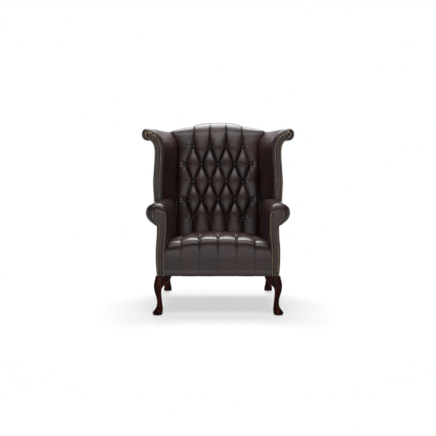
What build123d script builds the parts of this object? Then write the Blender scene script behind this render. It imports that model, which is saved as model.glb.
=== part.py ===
from build123d import *
import os
from math import atan2, cos, degrees, radians, sin

os.makedirs("parts", exist_ok=True)

# Driving sizes of the whole chair, in millimetres and degrees
overall_height = 1100
leg_height = 220
seat_depth = 530
seat_height = 430
back_base_height = 430
back_lean = 12.5
wing_depth = 270
wing_lean = 4
arm_wing_height = 630
overrun = 40
fit_gap = 0.2

# The lower body, from its middle plane outwards
body_half_bottom = 342
body_half_middle = 348.5
body_half_rear = 338
body_bulge_rear = 4
body_middle_height = 350
border_half_width = 302.5
facing_inner = 303

# Legs, with the pad foot and knee measured from the leg's own axis
foot_width = 57
front_leg_axis = 323
body_corner = 345
glide_height = 3
glide_radius = 11
leg_block = 35
leg_block_outer = 335
leg_block_front = 16.5
rail_height = 66
rail_lift = 2
rear_foot_depth = 640
rear_leg_top_depth = 545
rear_leg_axis = 329
rear_foot_width = 52
ear_length = 30
ear_drop = 52
ear_thickness = 24
ear_lip = 6

# Frame timber
rail_thickness = 26
tenon_length = 16
tenon_height = 44
tenon_thickness = 10
stump_thickness = 28
arm_rail_width = 36
arm_rail_height = 40
post_width = 30
post_depth = 28
stay_height = 60
crest_height = 70
wing_board = 25
wing_rail = 26
corner_block_leg = 60
corner_block_height = 40
bolt_radius = 4
bolt_length = 46
bolt_head_radius = 8
bolt_head_height = 5

# Seat build-up
wire_diameter = 3.6
spring_count = 5
spring_spacing = 105
spring_half_width = 22
spring_pitch = 34
spring_bend = 12
clip_width = 20
clip_depth = 16
clip_height = 8
seat_cloth = 2
seat_leather = 12
border_depth = 4
border_top = 378
shoulder_depth = 58
shoulder_top = 427
seat_back_height = 400
seat_crown = 20
seat_tuft = 18
seat_first_row = 120
seat_row_pitch = 102
dust_cloth = 1.6

# Back build-up, layer by layer behind the leather's pleat line
back_half_width = 300
tuft_half_width = 252
back_leather = 12
crest_wrap = 8
crest_roll = 22
crest_flute = 6
back_foam_depth = 31
web_thickness = 2
web_width = 50
lining = 3
outside_leather = 3
back_first_row_height = 938
back_row_pitch = 114
back_tuft = 26
back_bottom_height = 314

# Deep buttoning
button_pitch = 105
tuft_root = 3
tuft_tip_half = 4
pleat_width = 1.2
button_radius = 10
button_height = 7
pocket_gap = 1.5
pocket_depth = 5

# Arm roll at the front and at the rear station of its loft
arm_pad = 15.3
arm_edge = 16
facing_depth = 8
arm_floor = 384
arm_face_front = 286
arm_face_seat_back = 255
roll_x_front = 341
roll_height_front = 565
roll_radius_front = 62
neck_x_front = 338.6
neck_height_front = 499
rear_station = 700
roll_x_rear = 316
roll_height_rear = 585
roll_radius_rear = 52
neck_height_rear = 520
panel_leather = 5

# Arm facing, as the nail line round its head
head_x = 331
head_height = 556
head_radius = 36

# Wing at the front plane and at the rear plane of its loft
wing_pad = 20
wing_edge = 14
arc_runs = 4
wing_floor = 595
wing_foot_inner_front = 329
wing_foot_outer_front = 382
wing_inner_front = 318
wing_outer_front = 376
scroll_x_front = 414
scroll_height_front = 1014
scroll_radius_front = 38
wing_inner_rear = 237
wing_outer_rear = 314
scroll_x_rear = 328
scroll_height_rear = 1004
scroll_radius_rear = 31

# Dress nails
nail_pitch = 11.3
nail_radius = 5.3
nail_height = 2.6
nail_inset = 7
back_nail_inset = 15

# Places on the leaning back, worked out from the sizes above
lean_sin = sin(radians(back_lean))
lean_cos = cos(radians(back_lean))
foam_face = -back_leather
vertical_web_face = foam_face - back_foam_depth
web_face = vertical_web_face - web_thickness
post_face = web_face - web_thickness
post_rear = post_face - post_depth
outside_face = post_rear - lining
back_rear = outside_face - outside_leather
crest_top = overall_height - crest_flute


def back_rise(height, layer=0):
    """Distance up the leaning back at which a layer of it stands at a height."""
    return (height - back_base_height - layer * lean_sin) / lean_cos


def crest_rise(height):
    """Distance up the back of the crest line whose rounded top stands at a height."""
    return (height - back_base_height - crest_roll * (1 - lean_sin)) / lean_cos + crest_roll


outside_top = crest_rise(crest_top) - crest_roll / 2
rear_reach = seat_depth + outside_top * lean_sin - back_rear * lean_cos
toe_reach = foot_width / 2 + front_leg_axis + 0.3 * foot_width - body_corner
front_y = (toe_reach - rear_reach) / 2
rail_bottom = leg_height + rail_lift
rail_top = rail_bottom + rail_height
block_inner = leg_block_outer - leg_block
spring_height = rail_top + clip_height / 2
cloth_height = rail_top + clip_height
foam_floor = cloth_height + seat_cloth

back_plane = Plane(
    origin=(0, front_y + seat_depth, back_base_height),
    x_dir=(1, 0, 0),
    z_dir=(0, -lean_cos, lean_sin),
)
wing_plane = Plane(
    origin=(0, front_y + wing_depth, arm_wing_height),
    x_dir=(1, 0, 0),
    z_dir=(0, -cos(radians(wing_lean)), sin(radians(wing_lean))),
)
right_pieces = {}


def spot(x, depth, height):
    """A point given by its distance behind the arm fronts and above the floor."""
    return Vector(x, front_y + depth, height)


def back_spot(x, rise, layer):
    """A point given by its rise up the leaning back and its layer in front of it."""
    return back_plane.from_local_coords(Vector(x, rise, layer))


def keep(part, name):
    """Label one finished piece and write its file."""
    part.label = name
    export_step(part, f"parts/{name}.step")


def nail_places(wire, outward):
    """Evenly spaced nail places along a wire, none so near its neighbours that heads meet."""
    count = max(round(wire.length / nail_pitch), 1)
    ends = []
    for step in range(count + 1):
        end = wire.position_at(step / count)
        if all((end - other).length > 2 * nail_radius for other in ends):
            ends.append(end)
    return [Plane(origin=end, x_dir=(1, 0, 0), z_dir=outward).location for end in ends]


# One dress nail, one covered button
with BuildPart() as nail:
    with BuildSketch(Plane.XZ):
        with BuildLine():
            Line((0, 0), (nail_radius, 0))
            TangentArc((0, nail_height), (nail_radius, 0), tangent=(1, 0))
            Line((0, nail_height), (0, 0))
        make_face()
    revolve(axis=Axis.Z)

with BuildPart() as button:
    with BuildSketch(Plane.XZ):
        with BuildLine():
            Polyline(
                (0, button_height),
                (0, -pocket_depth),
                (button_radius, -pocket_depth),
                (button_radius, 0.3 * button_height),
            )
            TangentArc((0, button_height), (button_radius, 0.3 * button_height), tangent=(1, 0))
        make_face()
    revolve(axis=Axis.Z)

# Front cabriole leg: height, outward shift and half width, down the leg
front_leg_shares = (
    (1.0, 0.0, 0.47),
    (0.886, 0.105, 0.49),
    (0.773, 0.2, 0.455),
    (0.645, 0.254, 0.36),
    (0.5, 0.21, 0.277),
    (0.368, 0.13, 0.255),
    (0.277, 0.105, 0.272),
    (0.2, 0.12, 0.34),
    (0.132, 0.193, 0.44),
    (0.073, 0.3, 0.497),
    (0.014, 0.3, 0.33),
)
with BuildPart() as front_leg:
    for height_share, shift_share, half_share in front_leg_shares:
        axis_x = front_leg_axis + shift_share * foot_width
        half = half_share * foot_width
        square_share = 0.5 if height_share > 0.7 else 0.94
        with BuildSketch(Plane(spot(axis_x, body_corner - axis_x, height_share * leg_height))):
            RectangleRounded(2 * half, 2 * half, square_share * half)
    loft(ruled=True)
    block_middle = leg_block_outer - leg_block / 2
    with BuildSketch(Plane(spot(block_middle, leg_block_front + leg_block / 2, leg_height))):
        Rectangle(leg_block, leg_block)
    extrude(amount=rail_top - leg_height)
    tenon_middle = rail_bottom + rail_height / 2
    with Locations(spot(block_inner + tenon_length / 2, leg_block_front + leg_block / 2, tenon_middle)):
        Box(tenon_length, tenon_thickness, tenon_height, mode=Mode.SUBTRACT)
right_pieces["front_leg"] = front_leg.part

# Rear leg: height, backward shift and half width, down the leg
rear_leg_shares = (
    (1.0, 0.0, 0.42),
    (0.75, 0.2, 0.38),
    (0.5, 0.48, 0.345),
    (0.25, 0.83, 0.35),
    (0.09, 1.0, 0.46),
    (0.014, 1.0, 0.5),
)
with BuildPart() as rear_leg:
    for height_share, shift_share, half_share in rear_leg_shares:
        depth = rear_leg_top_depth + shift_share * (rear_foot_depth - rear_leg_top_depth)
        half = half_share * rear_foot_width
        with BuildSketch(Plane(spot(rear_leg_axis, depth, height_share * leg_height))):
            RectangleRounded(2 * half, 1.8 * half, 0.25 * half)
    loft(ruled=True)
    for height in (leg_height, rail_top):
        depth = seat_depth + (height - back_base_height) * lean_sin / lean_cos - post_face / lean_cos
        with BuildSketch(Plane(spot(block_middle, depth + post_depth / lean_cos / 2, height))):
            Rectangle(leg_block, post_depth / lean_cos)
    loft(ruled=True)
right_pieces["rear_leg"] = rear_leg.part

# Shaped ears under the front corner, cut to the leg they are glued to
with BuildPart() as front_ear:
    ear_end = block_inner - ear_length
    ear_root = front_leg_axis
    with BuildSketch(Plane.XZ.offset(-front_y - ear_lip)):
        with BuildLine():
            Polyline(
                (ear_root, leg_height - ear_drop),
                (ear_root, leg_height),
                (ear_end, leg_height),
                (ear_end, leg_height - 0.4 * ear_drop),
            )
            ThreePointArc(
                (ear_end, leg_height - 0.4 * ear_drop),
                (block_inner - 0.1 * ear_length, leg_height - 0.78 * ear_drop),
                (ear_root, leg_height - ear_drop),
            )
        make_face()
    extrude(amount=-ear_thickness)
    add(front_leg.part, mode=Mode.SUBTRACT)
right_pieces["front_leg_front_ear"] = front_ear.part.solids().sort_by(SortBy.VOLUME)[-1]

with BuildPart() as side_ear:
    ear_back = leg_block_front + leg_block + ear_length
    ear_start = body_corner - front_leg_axis
    with BuildSketch(Plane.YZ.offset(leg_block_outer - ear_thickness)):
        with BuildLine():
            Polyline(
                (front_y + ear_start, leg_height - ear_drop),
                (front_y + ear_start, leg_height),
                (front_y + ear_back, leg_height),
                (front_y + ear_back, leg_height - 0.4 * ear_drop),
            )
            ThreePointArc(
                (front_y + ear_back, leg_height - 0.4 * ear_drop),
                (front_y + leg_block_front + leg_block, leg_height - 0.78 * ear_drop),
                (front_y + ear_start, leg_height - ear_drop),
            )
        make_face()
    extrude(amount=ear_thickness)
    add(front_leg.part, mode=Mode.SUBTRACT)
right_pieces["front_leg_side_ear"] = side_ear.part.solids().sort_by(SortBy.VOLUME)[-1]

# Nylon glides under the four feet
toe_x = front_leg_axis + 0.3 * foot_width
with BuildPart() as foot_glides:
    for side in (-1, 1):
        for foot_x, foot_depth in ((toe_x, body_corner - toe_x), (rear_leg_axis, rear_foot_depth)):
            with Locations(spot(side * foot_x, foot_depth, 0)):
                Cylinder(glide_radius, glide_height, align=(Align.CENTER, Align.CENTER, Align.MIN))

# Seat rails
front_rail_depth = leg_block_front + (leg_block - rail_thickness) / 2
with BuildPart() as front_rail:
    with Locations(spot(0, front_rail_depth + rail_thickness / 2, rail_bottom + rail_height / 2)):
        Box(2 * block_inner, rail_thickness, rail_height)
        Box(2 * (block_inner + tenon_length - fit_gap), tenon_thickness - fit_gap, tenon_height - fit_gap)

side_rail_front = leg_block_front + leg_block
with BuildPart() as side_rail:
    with BuildSketch(Plane.YZ.offset(leg_block_outer - rail_thickness)):
        rear_low = back_plane.origin.Y - post_face / lean_cos
        slope = lean_sin / lean_cos
        Polygon(
            (front_y + side_rail_front, rail_bottom),
            (front_y + side_rail_front, rail_top),
            (rear_low + (rail_top - back_base_height) * slope, rail_top),
            (rear_low + (rail_bottom - back_base_height) * slope, rail_bottom),
            align=None,
        )
    extrude(amount=rail_thickness)
right_pieces["side_rail"] = side_rail.part

with BuildPart() as rear_rail:
    for height in (rail_bottom, rail_top):
        depth = seat_depth + (height - back_base_height) * slope - (post_face - post_depth / 2) / lean_cos
        with BuildSketch(Plane(spot(0, depth, height))):
            Rectangle(2 * block_inner, post_depth / lean_cos)
    loft(ruled=True)

# Glued triangular blocks in the two front corners, each held by a bolt into the leg
with BuildPart() as corner_blocks:
    block_depth = front_rail_depth + rail_thickness
    block_x = leg_block_outer - rail_thickness
    for side in (-1, 1):
        with BuildSketch(Plane.XY.offset(rail_bottom + rail_height / 3)):
            Polygon(
                (side * (block_inner - corner_block_leg), front_y + block_depth),
                (side * block_inner, front_y + block_depth),
                (side * block_inner, front_y + side_rail_front),
                (side * block_x, front_y + side_rail_front),
                (side * block_x, front_y + side_rail_front + corner_block_leg),
                align=None,
            )
        extrude(amount=corner_block_height)
    bolt_height = rail_bottom + rail_height / 3 + corner_block_height / 2
    for side in (-1, 1):
        bolt_way = Vector(side, -1, 0).normalized()
        bolt_tip = spot(side * (block_inner - fit_gap), side_rail_front + fit_gap, bolt_height)
        with Locations(Plane(origin=bolt_tip - bolt_way * bolt_length / 2, z_dir=bolt_way)):
            Cylinder(bolt_radius + fit_gap, bolt_length, mode=Mode.SUBTRACT)

with BuildPart() as leg_bolts:
    for side in (-1, 1):
        bolt_way = Vector(side, -1, 0).normalized()
        bolt_tip = spot(side * (block_inner - fit_gap), side_rail_front + fit_gap, bolt_height)
        with Locations(Plane(origin=bolt_tip - bolt_way * bolt_length / 2, z_dir=bolt_way)):
            Cylinder(bolt_radius, bolt_length)
        with Locations(Plane(origin=bolt_tip - bolt_way * bolt_length, z_dir=bolt_way)):
            Cylinder(bolt_head_radius, bolt_head_height)

# Back frame: two posts on the rear legs, a low stay rail and the camel crest rail
with BuildPart() as back_post:
    post_foot = back_rise(rail_top, post_face)
    post_head = crest_rise(scroll_height_rear) - crest_height
    with BuildSketch(back_plane.offset(post_rear)):
        with Locations((back_half_width - post_width / 2, (post_foot + post_head) / 2)):
            Rectangle(post_width - 2 * fit_gap, post_head - post_foot)
    extrude(amount=post_depth)
    split(bisect_by=Plane.XY.offset(rail_top), keep=Keep.TOP)
right_pieces["back_post"] = back_post.part

with BuildPart() as stay_rail:
    with BuildSketch(back_plane.offset(post_rear)):
        Rectangle(2 * (back_half_width - post_width), stay_height)
    extrude(amount=post_depth)

# Camel outline of the crest: half widths and heights of its turning points
crest_flat_half = 61
crest_fall_half = 159
crest_fall_height = 1067
crest_end_height = 1036


def crest_sketch(plane, half_width, drop, floor_height):
    """The camel-backed outline on a plane of the back, lowered evenly by a drop."""
    flat = crest_rise(crest_top) - drop
    fall = crest_rise(crest_fall_height) - drop
    end = crest_rise(crest_end_height) - drop
    floor = back_rise(floor_height)
    rounding = flat - fall
    with BuildSketch(plane) as outline:
        with BuildLine():
            for side in (-1, 1):
                ThreePointArc(
                    (side * crest_flat_half, flat),
                    (side * (crest_flat_half + crest_fall_half) / 2, flat - 0.36 * rounding),
                    (side * crest_fall_half, fall),
                )
                ThreePointArc(
                    (side * crest_fall_half, fall),
                    (side * (crest_fall_half + half_width) / 2, end + 0.46 * (fall - end)),
                    (side * half_width, end),
                )
                Line((side * half_width, end), (side * half_width, floor))
            Line((-crest_flat_half, flat), (crest_flat_half, flat))
            Line((-half_width, floor), (half_width, floor))
        make_face()
    return outline.sketch


def crest_line(x):
    """Rise of the crest line at a distance from the middle, in straight runs."""
    flat = crest_rise(crest_top)
    fall = crest_rise(crest_fall_height)
    end = crest_rise(crest_end_height)
    if abs(x) < crest_flat_half:
        return flat
    if abs(x) < crest_fall_half:
        part_way = (abs(x) - crest_flat_half) / (crest_fall_half - crest_flat_half)
        return flat - (flat - fall) * part_way * (0.45 + 0.55 * part_way)
    return fall - (fall - end) * (abs(x) - crest_fall_half) / (back_half_width - crest_fall_half)


with BuildPart() as crest_rail:
    rail_plane = back_plane.offset(post_rear)
    extrude(crest_sketch(rail_plane, back_half_width - fit_gap, crest_wrap + fit_gap, scroll_height_rear),
            amount=post_depth)
    with BuildSketch(rail_plane):
        with Locations((0, post_head + fit_gap)):
            Rectangle(2 * (back_half_width - fit_gap), crest_height, align=(Align.CENTER, Align.MIN))
    extrude(amount=post_depth)
    add(extrude(crest_sketch(rail_plane, back_half_width - fit_gap, crest_wrap + fit_gap, arm_floor),
                amount=post_depth, mode=Mode.PRIVATE), mode=Mode.INTERSECT)

# Rubberised webbing across and down the back frame
with BuildPart() as back_webbing:
    web_low = back_rise(back_base_height) + stay_height
    web_high = post_head - web_width / 2
    web_rows = 5
    for row in range(web_rows):
        rise = web_low + (web_high - web_low) * row / (web_rows - 1)
        with Locations(back_plane.location * Location((0, rise, web_face - web_thickness / 2))):
            Box(2 * (back_half_width - fit_gap), web_width, web_thickness)
    for column in (-1, 0, 1):
        web_middle = (web_low + web_high) / 2
        place = Location((column * 1.5 * button_pitch, web_middle, vertical_web_face - web_thickness / 2))
        with Locations(back_plane.location * place):
            Box(web_width, web_high - web_low + web_width, web_thickness - 2 * fit_gap)

with BuildPart() as back_foam:
    extrude(crest_sketch(back_plane.offset(vertical_web_face), back_half_width - 1.5 * pocket_depth,
                         crest_wrap + fit_gap, back_bottom_height),
            amount=back_foam_depth - fit_gap)

# Deep-buttoned pillows: each is a ruled loft of low arcs along a path


def pillow(stations):
    """Ruled loft through stations of a plane, the two edges, their base levels and a crown."""
    rings = []
    for place, left, right, left_base, right_base, crown in stations:
        start = (left + pleat_width / 2, left_base - tuft_root)
        stop = (right - pleat_width / 2, right_base - tuft_root)
        with BuildSketch(place) as ring:
            with BuildLine():
                Line(start, stop)
                ThreePointArc(start, ((left + right) / 2, (left_base + right_base) / 2 + crown), stop)
            make_face()
        rings.append(ring.sketch)
    return rings


def outward_plane(origin, tilt):
    """A cutting plane whose local Y points out of the upholstery, tilted up from the front."""
    out = Vector(0, -cos(radians(tilt)), sin(radians(tilt)))
    return Plane(origin=origin, x_dir=(1, 0, 0), z_dir=Vector(1, 0, 0).cross(out))


# The shape of one half diamond, from its point to its middle: place and crown
swell_shares = ((0.0, 0.0), (0.15, 0.15), (0.4, 0.6), (0.7, 0.9), (1.0, 1.0))
first_row = back_rise(back_first_row_height)
back_rows = [first_row - row * back_row_pitch for row in range(5)]


def back_station(rise, left, right, crown_share):
    """A station up the flat of the back."""
    return (outward_plane(back_spot(0, rise, 0), back_lean), left, right, 0, 0, crown_share * back_tuft)


def crest_station(middle, left, right, turn, run_back, crown_share):
    """A station of a flute where it turns over the crest by an angle, then runs back."""
    tilt = back_lean + turn
    top = crest_line(middle)
    rise = top - crest_roll + crest_roll * sin(radians(turn))
    layer = -crest_roll + crest_roll * cos(radians(turn)) - run_back
    lift = sin(radians(turn))
    return (
        outward_plane(back_spot(0, rise, layer), tilt),
        left,
        right,
        (crest_line(left) - top) * lift,
        (crest_line(right) - top) * lift,
        crown_share * back_tuft,
    )


def point_half(tip, length, station, middle):
    """Stations of half a diamond, from its point at a button to its widest place."""
    rings = []
    for along_share, crown_share in swell_shares:
        half = max(along_share * button_pitch / 2, tuft_tip_half)
        rings.append(station(tip + along_share * length, middle - half, middle + half, crown_share))
    return rings


def diamond(middle, centre, half_length, station):
    """A full diamond pillow between four buttons."""
    first = point_half(centre - half_length, half_length, station, middle)
    second = point_half(centre + half_length, -half_length, station, middle)
    return first + second[-2::-1]


half_pitch = button_pitch / 2
back_pillows = []
for row, middles in ((1, (-1.5, -0.5, 0.5, 1.5)), (2, (-1, 0, 1)), (3, (-1.5, -0.5, 0.5, 1.5))):
    for middle in middles:
        back_pillows.append(
            diamond(middle * button_pitch, back_rows[row], back_row_pitch, back_station)
        )

# Over the crest: turn about the roll, run behind it and crown left
crest_turns = (0, 35, 65, 90)
crest_turn_shares = (0.55, 0.42, 0.3, 0.23)
for step in (-1, 0, 1):
    middle = step * button_pitch
    flute = point_half(back_rows[1], back_row_pitch, back_station, middle)
    for turn, crown_share in zip(crest_turns, crest_turn_shares):
        flute.append(
            crest_station(middle, middle - half_pitch, middle + half_pitch, turn, 0, crown_share)
        )
    back_pillows.append(flute)

# Below the last row the flutes run down behind the seat
flute_foot = back_rise(seat_back_height)
for step in (-1, 0, 1):
    middle = step * button_pitch
    flute = point_half(back_rows[3], -back_row_pitch, back_station, middle)
    flute.append(back_station(flute_foot, middle - half_pitch, middle + half_pitch, 0.35))
    back_pillows.append(flute)


def side_edges(side, inner, outer):
    """The left and right edge of a pillow on one side of the middle."""
    return (inner, outer) if side > 0 else (-outer, -inner)


# The half pillows against the wings
outer_button = 2 * button_pitch
inner_button = 1.5 * button_pitch
for side in (-1, 1):
    top_side = [
        back_station(back_rows[1] + pleat_width, *side_edges(side, outer_button, tuft_half_width), 0.1),
        back_station(
            back_rows[1] + back_row_pitch / 2,
            *side_edges(side, (outer_button + inner_button) / 2, tuft_half_width),
            0.62,
        ),
        back_station(back_rows[0], *side_edges(side, inner_button, tuft_half_width), 0.75),
    ]
    for turn, crown_share in zip(crest_turns, crest_turn_shares):
        left, right = side_edges(side, inner_button, tuft_half_width)
        top_side.append(crest_station((left + right) / 2, left, right, turn, 0, crown_share))
    back_pillows.append(top_side)
    middle_side = []
    for place_share, crown_share in ((1, 0.1), (0.5, 0.6), (0, 0.72), (-0.5, 0.6), (-1, 0.1)):
        inner = inner_button + (outer_button - inner_button) * abs(place_share)
        rise = back_rows[2] - place_share * (back_row_pitch - pleat_width)
        middle_side.append(back_station(rise, *side_edges(side, inner, tuft_half_width), crown_share))
    back_pillows.append(middle_side)
    low_side = [
        back_station(back_rows[3] - pleat_width, *side_edges(side, outer_button, tuft_half_width), 0.1),
        back_station(
            back_rows[3] - back_row_pitch / 2,
            *side_edges(side, (outer_button + inner_button) / 2, tuft_half_width),
            0.62,
        ),
        back_station(back_rows[4], *side_edges(side, inner_button, tuft_half_width), 0.72),
        back_station(flute_foot, *side_edges(side, inner_button, tuft_half_width), 0.35),
    ]
    back_pillows.append(low_side)

# Button rows: four and five by turns
back_button_spots = []
for row, rise in enumerate(back_rows):
    count = 4 + row % 2
    for step in range(count):
        back_button_spots.append(((step - (count - 1) / 2) * button_pitch, rise))

# Rounding of the crest's front edge: depth behind the face and drop, in roll radii
roll_shares = ((0.0, 1.0), (0.08, 0.61), (0.29, 0.296), (0.62, 0.075), (1.0, 0.0))
with BuildPart() as inside_back_cover:
    rings = [
        crest_sketch(back_plane.offset(-depth * crest_roll), back_half_width - fit_gap, drop * crest_roll,
                     back_bottom_height)
        for depth, drop in roll_shares
    ]
    rings.append(crest_sketch(back_plane.offset(outside_face), back_half_width - fit_gap, 0,
                              back_bottom_height))
    loft(rings, ruled=True)
    extrude(crest_sketch(back_plane.offset(outside_face - overrun), back_half_width + overrun, crest_wrap,
                         back_bottom_height - overrun),
            amount=foam_face - outside_face + overrun, mode=Mode.SUBTRACT)
    for stations in back_pillows:
        loft(pillow(stations), ruled=True)
    pockets = [back_plane.location * Location((x, rise, -pocket_depth)) for x, rise in back_button_spots]
    with Locations(*pockets):
        Cylinder(button_radius + pocket_gap, overrun, align=(Align.CENTER, Align.CENTER, Align.MIN),
                 mode=Mode.SUBTRACT)

with BuildPart() as back_buttons:
    with Locations(*[back_plane.location * Location((x, rise, 0)) for x, rise in back_button_spots]):
        add(button.part)

# Seat: springs on the rails, cloth, foam and the buttoned leather
with BuildPart() as seat_springs:
    clip_front = front_rail_depth + rail_thickness / 2
    clip_rear = seat_depth + (rail_top - back_base_height) * slope - (post_face - post_depth / 2) / lean_cos
    bends = round((clip_rear - clip_front) / spring_pitch)
    run = (clip_rear - clip_front) / bends
    for column in range(spring_count):
        middle = (column - (spring_count - 1) / 2) * spring_spacing
        route = [spot(middle - spring_half_width / 2, clip_front, spring_height)]
        for bend in range(bends + 1):
            depth = clip_front + bend * run
            reach = spring_half_width * (-1) ** bend
            if bend > 0:
                route.append(spot(middle - reach, depth, spring_height))
            if bend < bends:
                route.append(spot(middle + reach, depth, spring_height))
        route.append(spot(middle + spring_half_width / 2 * (-1) ** bends, clip_rear, spring_height))
        with BuildLine() as wire_path:
            FilletPolyline(*route, radius=spring_bend)
        with BuildSketch(Plane(origin=route[0], z_dir=(1, 0, 0))):
            Circle(wire_diameter / 2)
        sweep(path=wire_path.line)

with BuildPart() as spring_clips:
    for column in range(spring_count):
        middle = (column - (spring_count - 1) / 2) * spring_spacing
        for depth in (clip_front, clip_rear):
            with Locations(spot(middle, depth, spring_height)):
                Box(clip_width / 2, clip_depth, clip_height)
                with Locations(Rotation(0, 90, 0)):
                    Cylinder(wire_diameter / 2 + fit_gap, clip_width, mode=Mode.SUBTRACT)

with BuildPart() as spring_cloth:
    cloth_rear = clip_rear - clip_depth / 2
    with Locations(spot(0, (clip_front + cloth_rear) / 2, cloth_height + seat_cloth / 2)):
        Box(2 * block_inner - clip_width, cloth_rear - clip_front, seat_cloth)


def seat_fall(x):
    """How far the seat drops away from its middle towards an arm."""
    return seat_crown * (x / (2 * button_pitch)) ** 2


def seat_profile(x, inset, floor):
    """The seat's side profile at a distance from the middle, as a face on its own plane."""
    fall = seat_fall(x)
    rear = seat_depth + overrun
    slope_back = (seat_height - seat_back_height) / (seat_depth - seat_first_row)
    rear_height = seat_height - (rear - seat_first_row) * slope_back
    with BuildSketch(Plane.YZ.offset(x)) as profile:
        with BuildLine():
            Line(
                (front_y + border_depth + inset, floor),
                (front_y + border_depth + inset, border_top - fall),
            )
            ThreePointArc(
                (front_y + border_depth + inset, border_top - fall),
                (
                    front_y + border_depth + 0.27 * shoulder_depth + 0.72 * inset,
                    border_top + 0.7 * (shoulder_top - border_top) - 0.7 * inset - fall,
                ),
                (front_y + border_depth + shoulder_depth, shoulder_top - inset - fall),
            )
            Polyline(
                (front_y + border_depth + shoulder_depth, shoulder_top - inset - fall),
                (front_y + seat_first_row, seat_height - inset - fall),
                (front_y + rear, rear_height - inset - fall),
                (front_y + rear, floor),
                (front_y + border_depth + inset, floor),
            )
        make_face()
    return profile.sketch


def seat_level(depth):
    """Height of the seat's pleat line in the middle, behind its first row of buttons."""
    fall_back = (seat_height - seat_back_height) / (seat_depth - seat_first_row)
    return seat_height - (depth - seat_first_row) * fall_back


seat_slope = degrees(atan2(seat_height - seat_back_height, seat_depth - seat_first_row))


def seat_tuft_station(depth, height, tilt, left, right, crown_share):
    """A station of a seat pillow, whose edges follow the seat's fall to the sides."""
    lift = sin(radians(tilt))
    return (
        outward_plane(spot(0, depth, height), tilt),
        left,
        right,
        -seat_fall(left) * lift,
        -seat_fall(right) * lift,
        crown_share * seat_tuft,
    )


def seat_top_station(depth, left, right, crown_share):
    """A station on the sloping top of the seat."""
    return seat_tuft_station(depth, seat_level(depth), 90 + seat_slope, left, right, crown_share)


def arm_face(depth):
    """Half width between the arms' inner faces at a depth."""
    return arm_face_front - (arm_face_front - arm_face_seat_back) * depth / seat_depth


def border_stations(left, right, edge):
    """A flute's stations up the front border and over the shoulder."""
    middle_depth = border_depth + 0.27 * shoulder_depth
    middle_height = border_top + 0.7 * (shoulder_top - border_top)
    rows = (
        (border_depth, rail_bottom, 0, 0.2),
        (border_depth, (rail_bottom + border_top) / 2, 0, 0.32),
        (border_depth, border_top, 8, 0.55),
        (middle_depth, middle_height, 45, 0.85),
        (border_depth + shoulder_depth, shoulder_top, 84, 1.0),
    )
    return [
        seat_tuft_station(depth, height, tilt, left, right, edge * crown)
        for depth, height, tilt, crown in rows
    ]


seat_rows = [seat_first_row + row * seat_row_pitch for row in range(4)]
seat_pillows = []
for row, middles in ((1, (-1, 0, 1)), (2, (-1.5, -0.5, 0.5, 1.5))):
    for middle in middles:
        seat_pillows.append(
            diamond(middle * button_pitch, seat_rows[row], seat_row_pitch, seat_top_station)
        )
for step in (-1.5, -0.5, 0.5, 1.5):
    middle = step * button_pitch
    flute = border_stations(middle - half_pitch, middle + half_pitch, 1)
    flute += point_half(seat_rows[1], -seat_row_pitch, seat_top_station, middle)[::-1]
    seat_pillows.append(flute)
seat_rear = seat_depth - pocket_depth
for step in (-1, 0, 1):
    middle = step * button_pitch
    flute = point_half(seat_rows[2], seat_row_pitch, seat_top_station, middle)
    flute.append(seat_top_station(seat_rear, middle - half_pitch, middle + half_pitch, 0.6))
    seat_pillows.append(flute)
for side in (-1, 1):
    edge = arm_face(seat_first_row) - pleat_width
    flute = border_stations(*side_edges(side, outer_button, edge), 0.7)
    flute.append(seat_top_station(seat_first_row - pleat_width, *side_edges(side, outer_button, edge), 0.1))
    seat_pillows.append(flute)
    middle_side = []
    for place_share, crown_share in ((-1, 0.1), (-0.5, 0.6), (0, 0.75), (0.5, 0.6), (1, 0.1)):
        inner = inner_button + (outer_button - inner_button) * abs(place_share)
        depth = seat_rows[1] + place_share * (seat_row_pitch - pleat_width)
        edge = arm_face(depth) - pleat_width
        middle_side.append(seat_top_station(depth, *side_edges(side, inner, edge), crown_share))
    seat_pillows.append(middle_side)
    rear_side = []
    for depth, inner, crown_share in (
        (seat_rows[2] + pleat_width, outer_button, 0.1),
        ((seat_rows[2] + seat_rows[3]) / 2, (outer_button + inner_button) / 2, 0.62),
        (seat_rows[3], inner_button, 0.75),
        (seat_rear, inner_button, 0.6),
    ):
        edge = arm_face(depth) - pleat_width
        rear_side.append(seat_top_station(depth, *side_edges(side, inner, edge), crown_share))
    seat_pillows.append(rear_side)

seat_button_spots = []
for row, depth in enumerate(seat_rows):
    count = 5 - row % 2
    for step in range(count):
        x = (step - (count - 1) / 2) * button_pitch
        seat_button_spots.append(Location(outward_plane(spot(x, depth, seat_level(depth) - seat_fall(x)), 0)
                                          .origin, (-seat_slope, 0, 0)))

# Stations across the seat, from one side of the border to the other
seat_station_shares = (-1, -0.7, -0.35, 0, 0.35, 0.7, 1)


def arm_outline(station, inset, roll_inset):
    """Named corners of the arm's cross-section at a station, 0 in front and 1 at the rear."""
    roll_x = roll_x_front + (roll_x_rear - roll_x_front) * station
    roll_height = roll_height_front + (roll_height_rear - roll_height_front) * station
    radius = roll_radius_front + (roll_radius_rear - roll_radius_front) * station - roll_inset
    face = arm_face(station * rear_station) + inset
    neck_x = neck_x_front + (body_half_rear - neck_x_front) * station
    neck_height = neck_height_front + (neck_height_rear - neck_height_front) * station
    return roll_x, roll_height, radius, face, neck_x, neck_height


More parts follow.
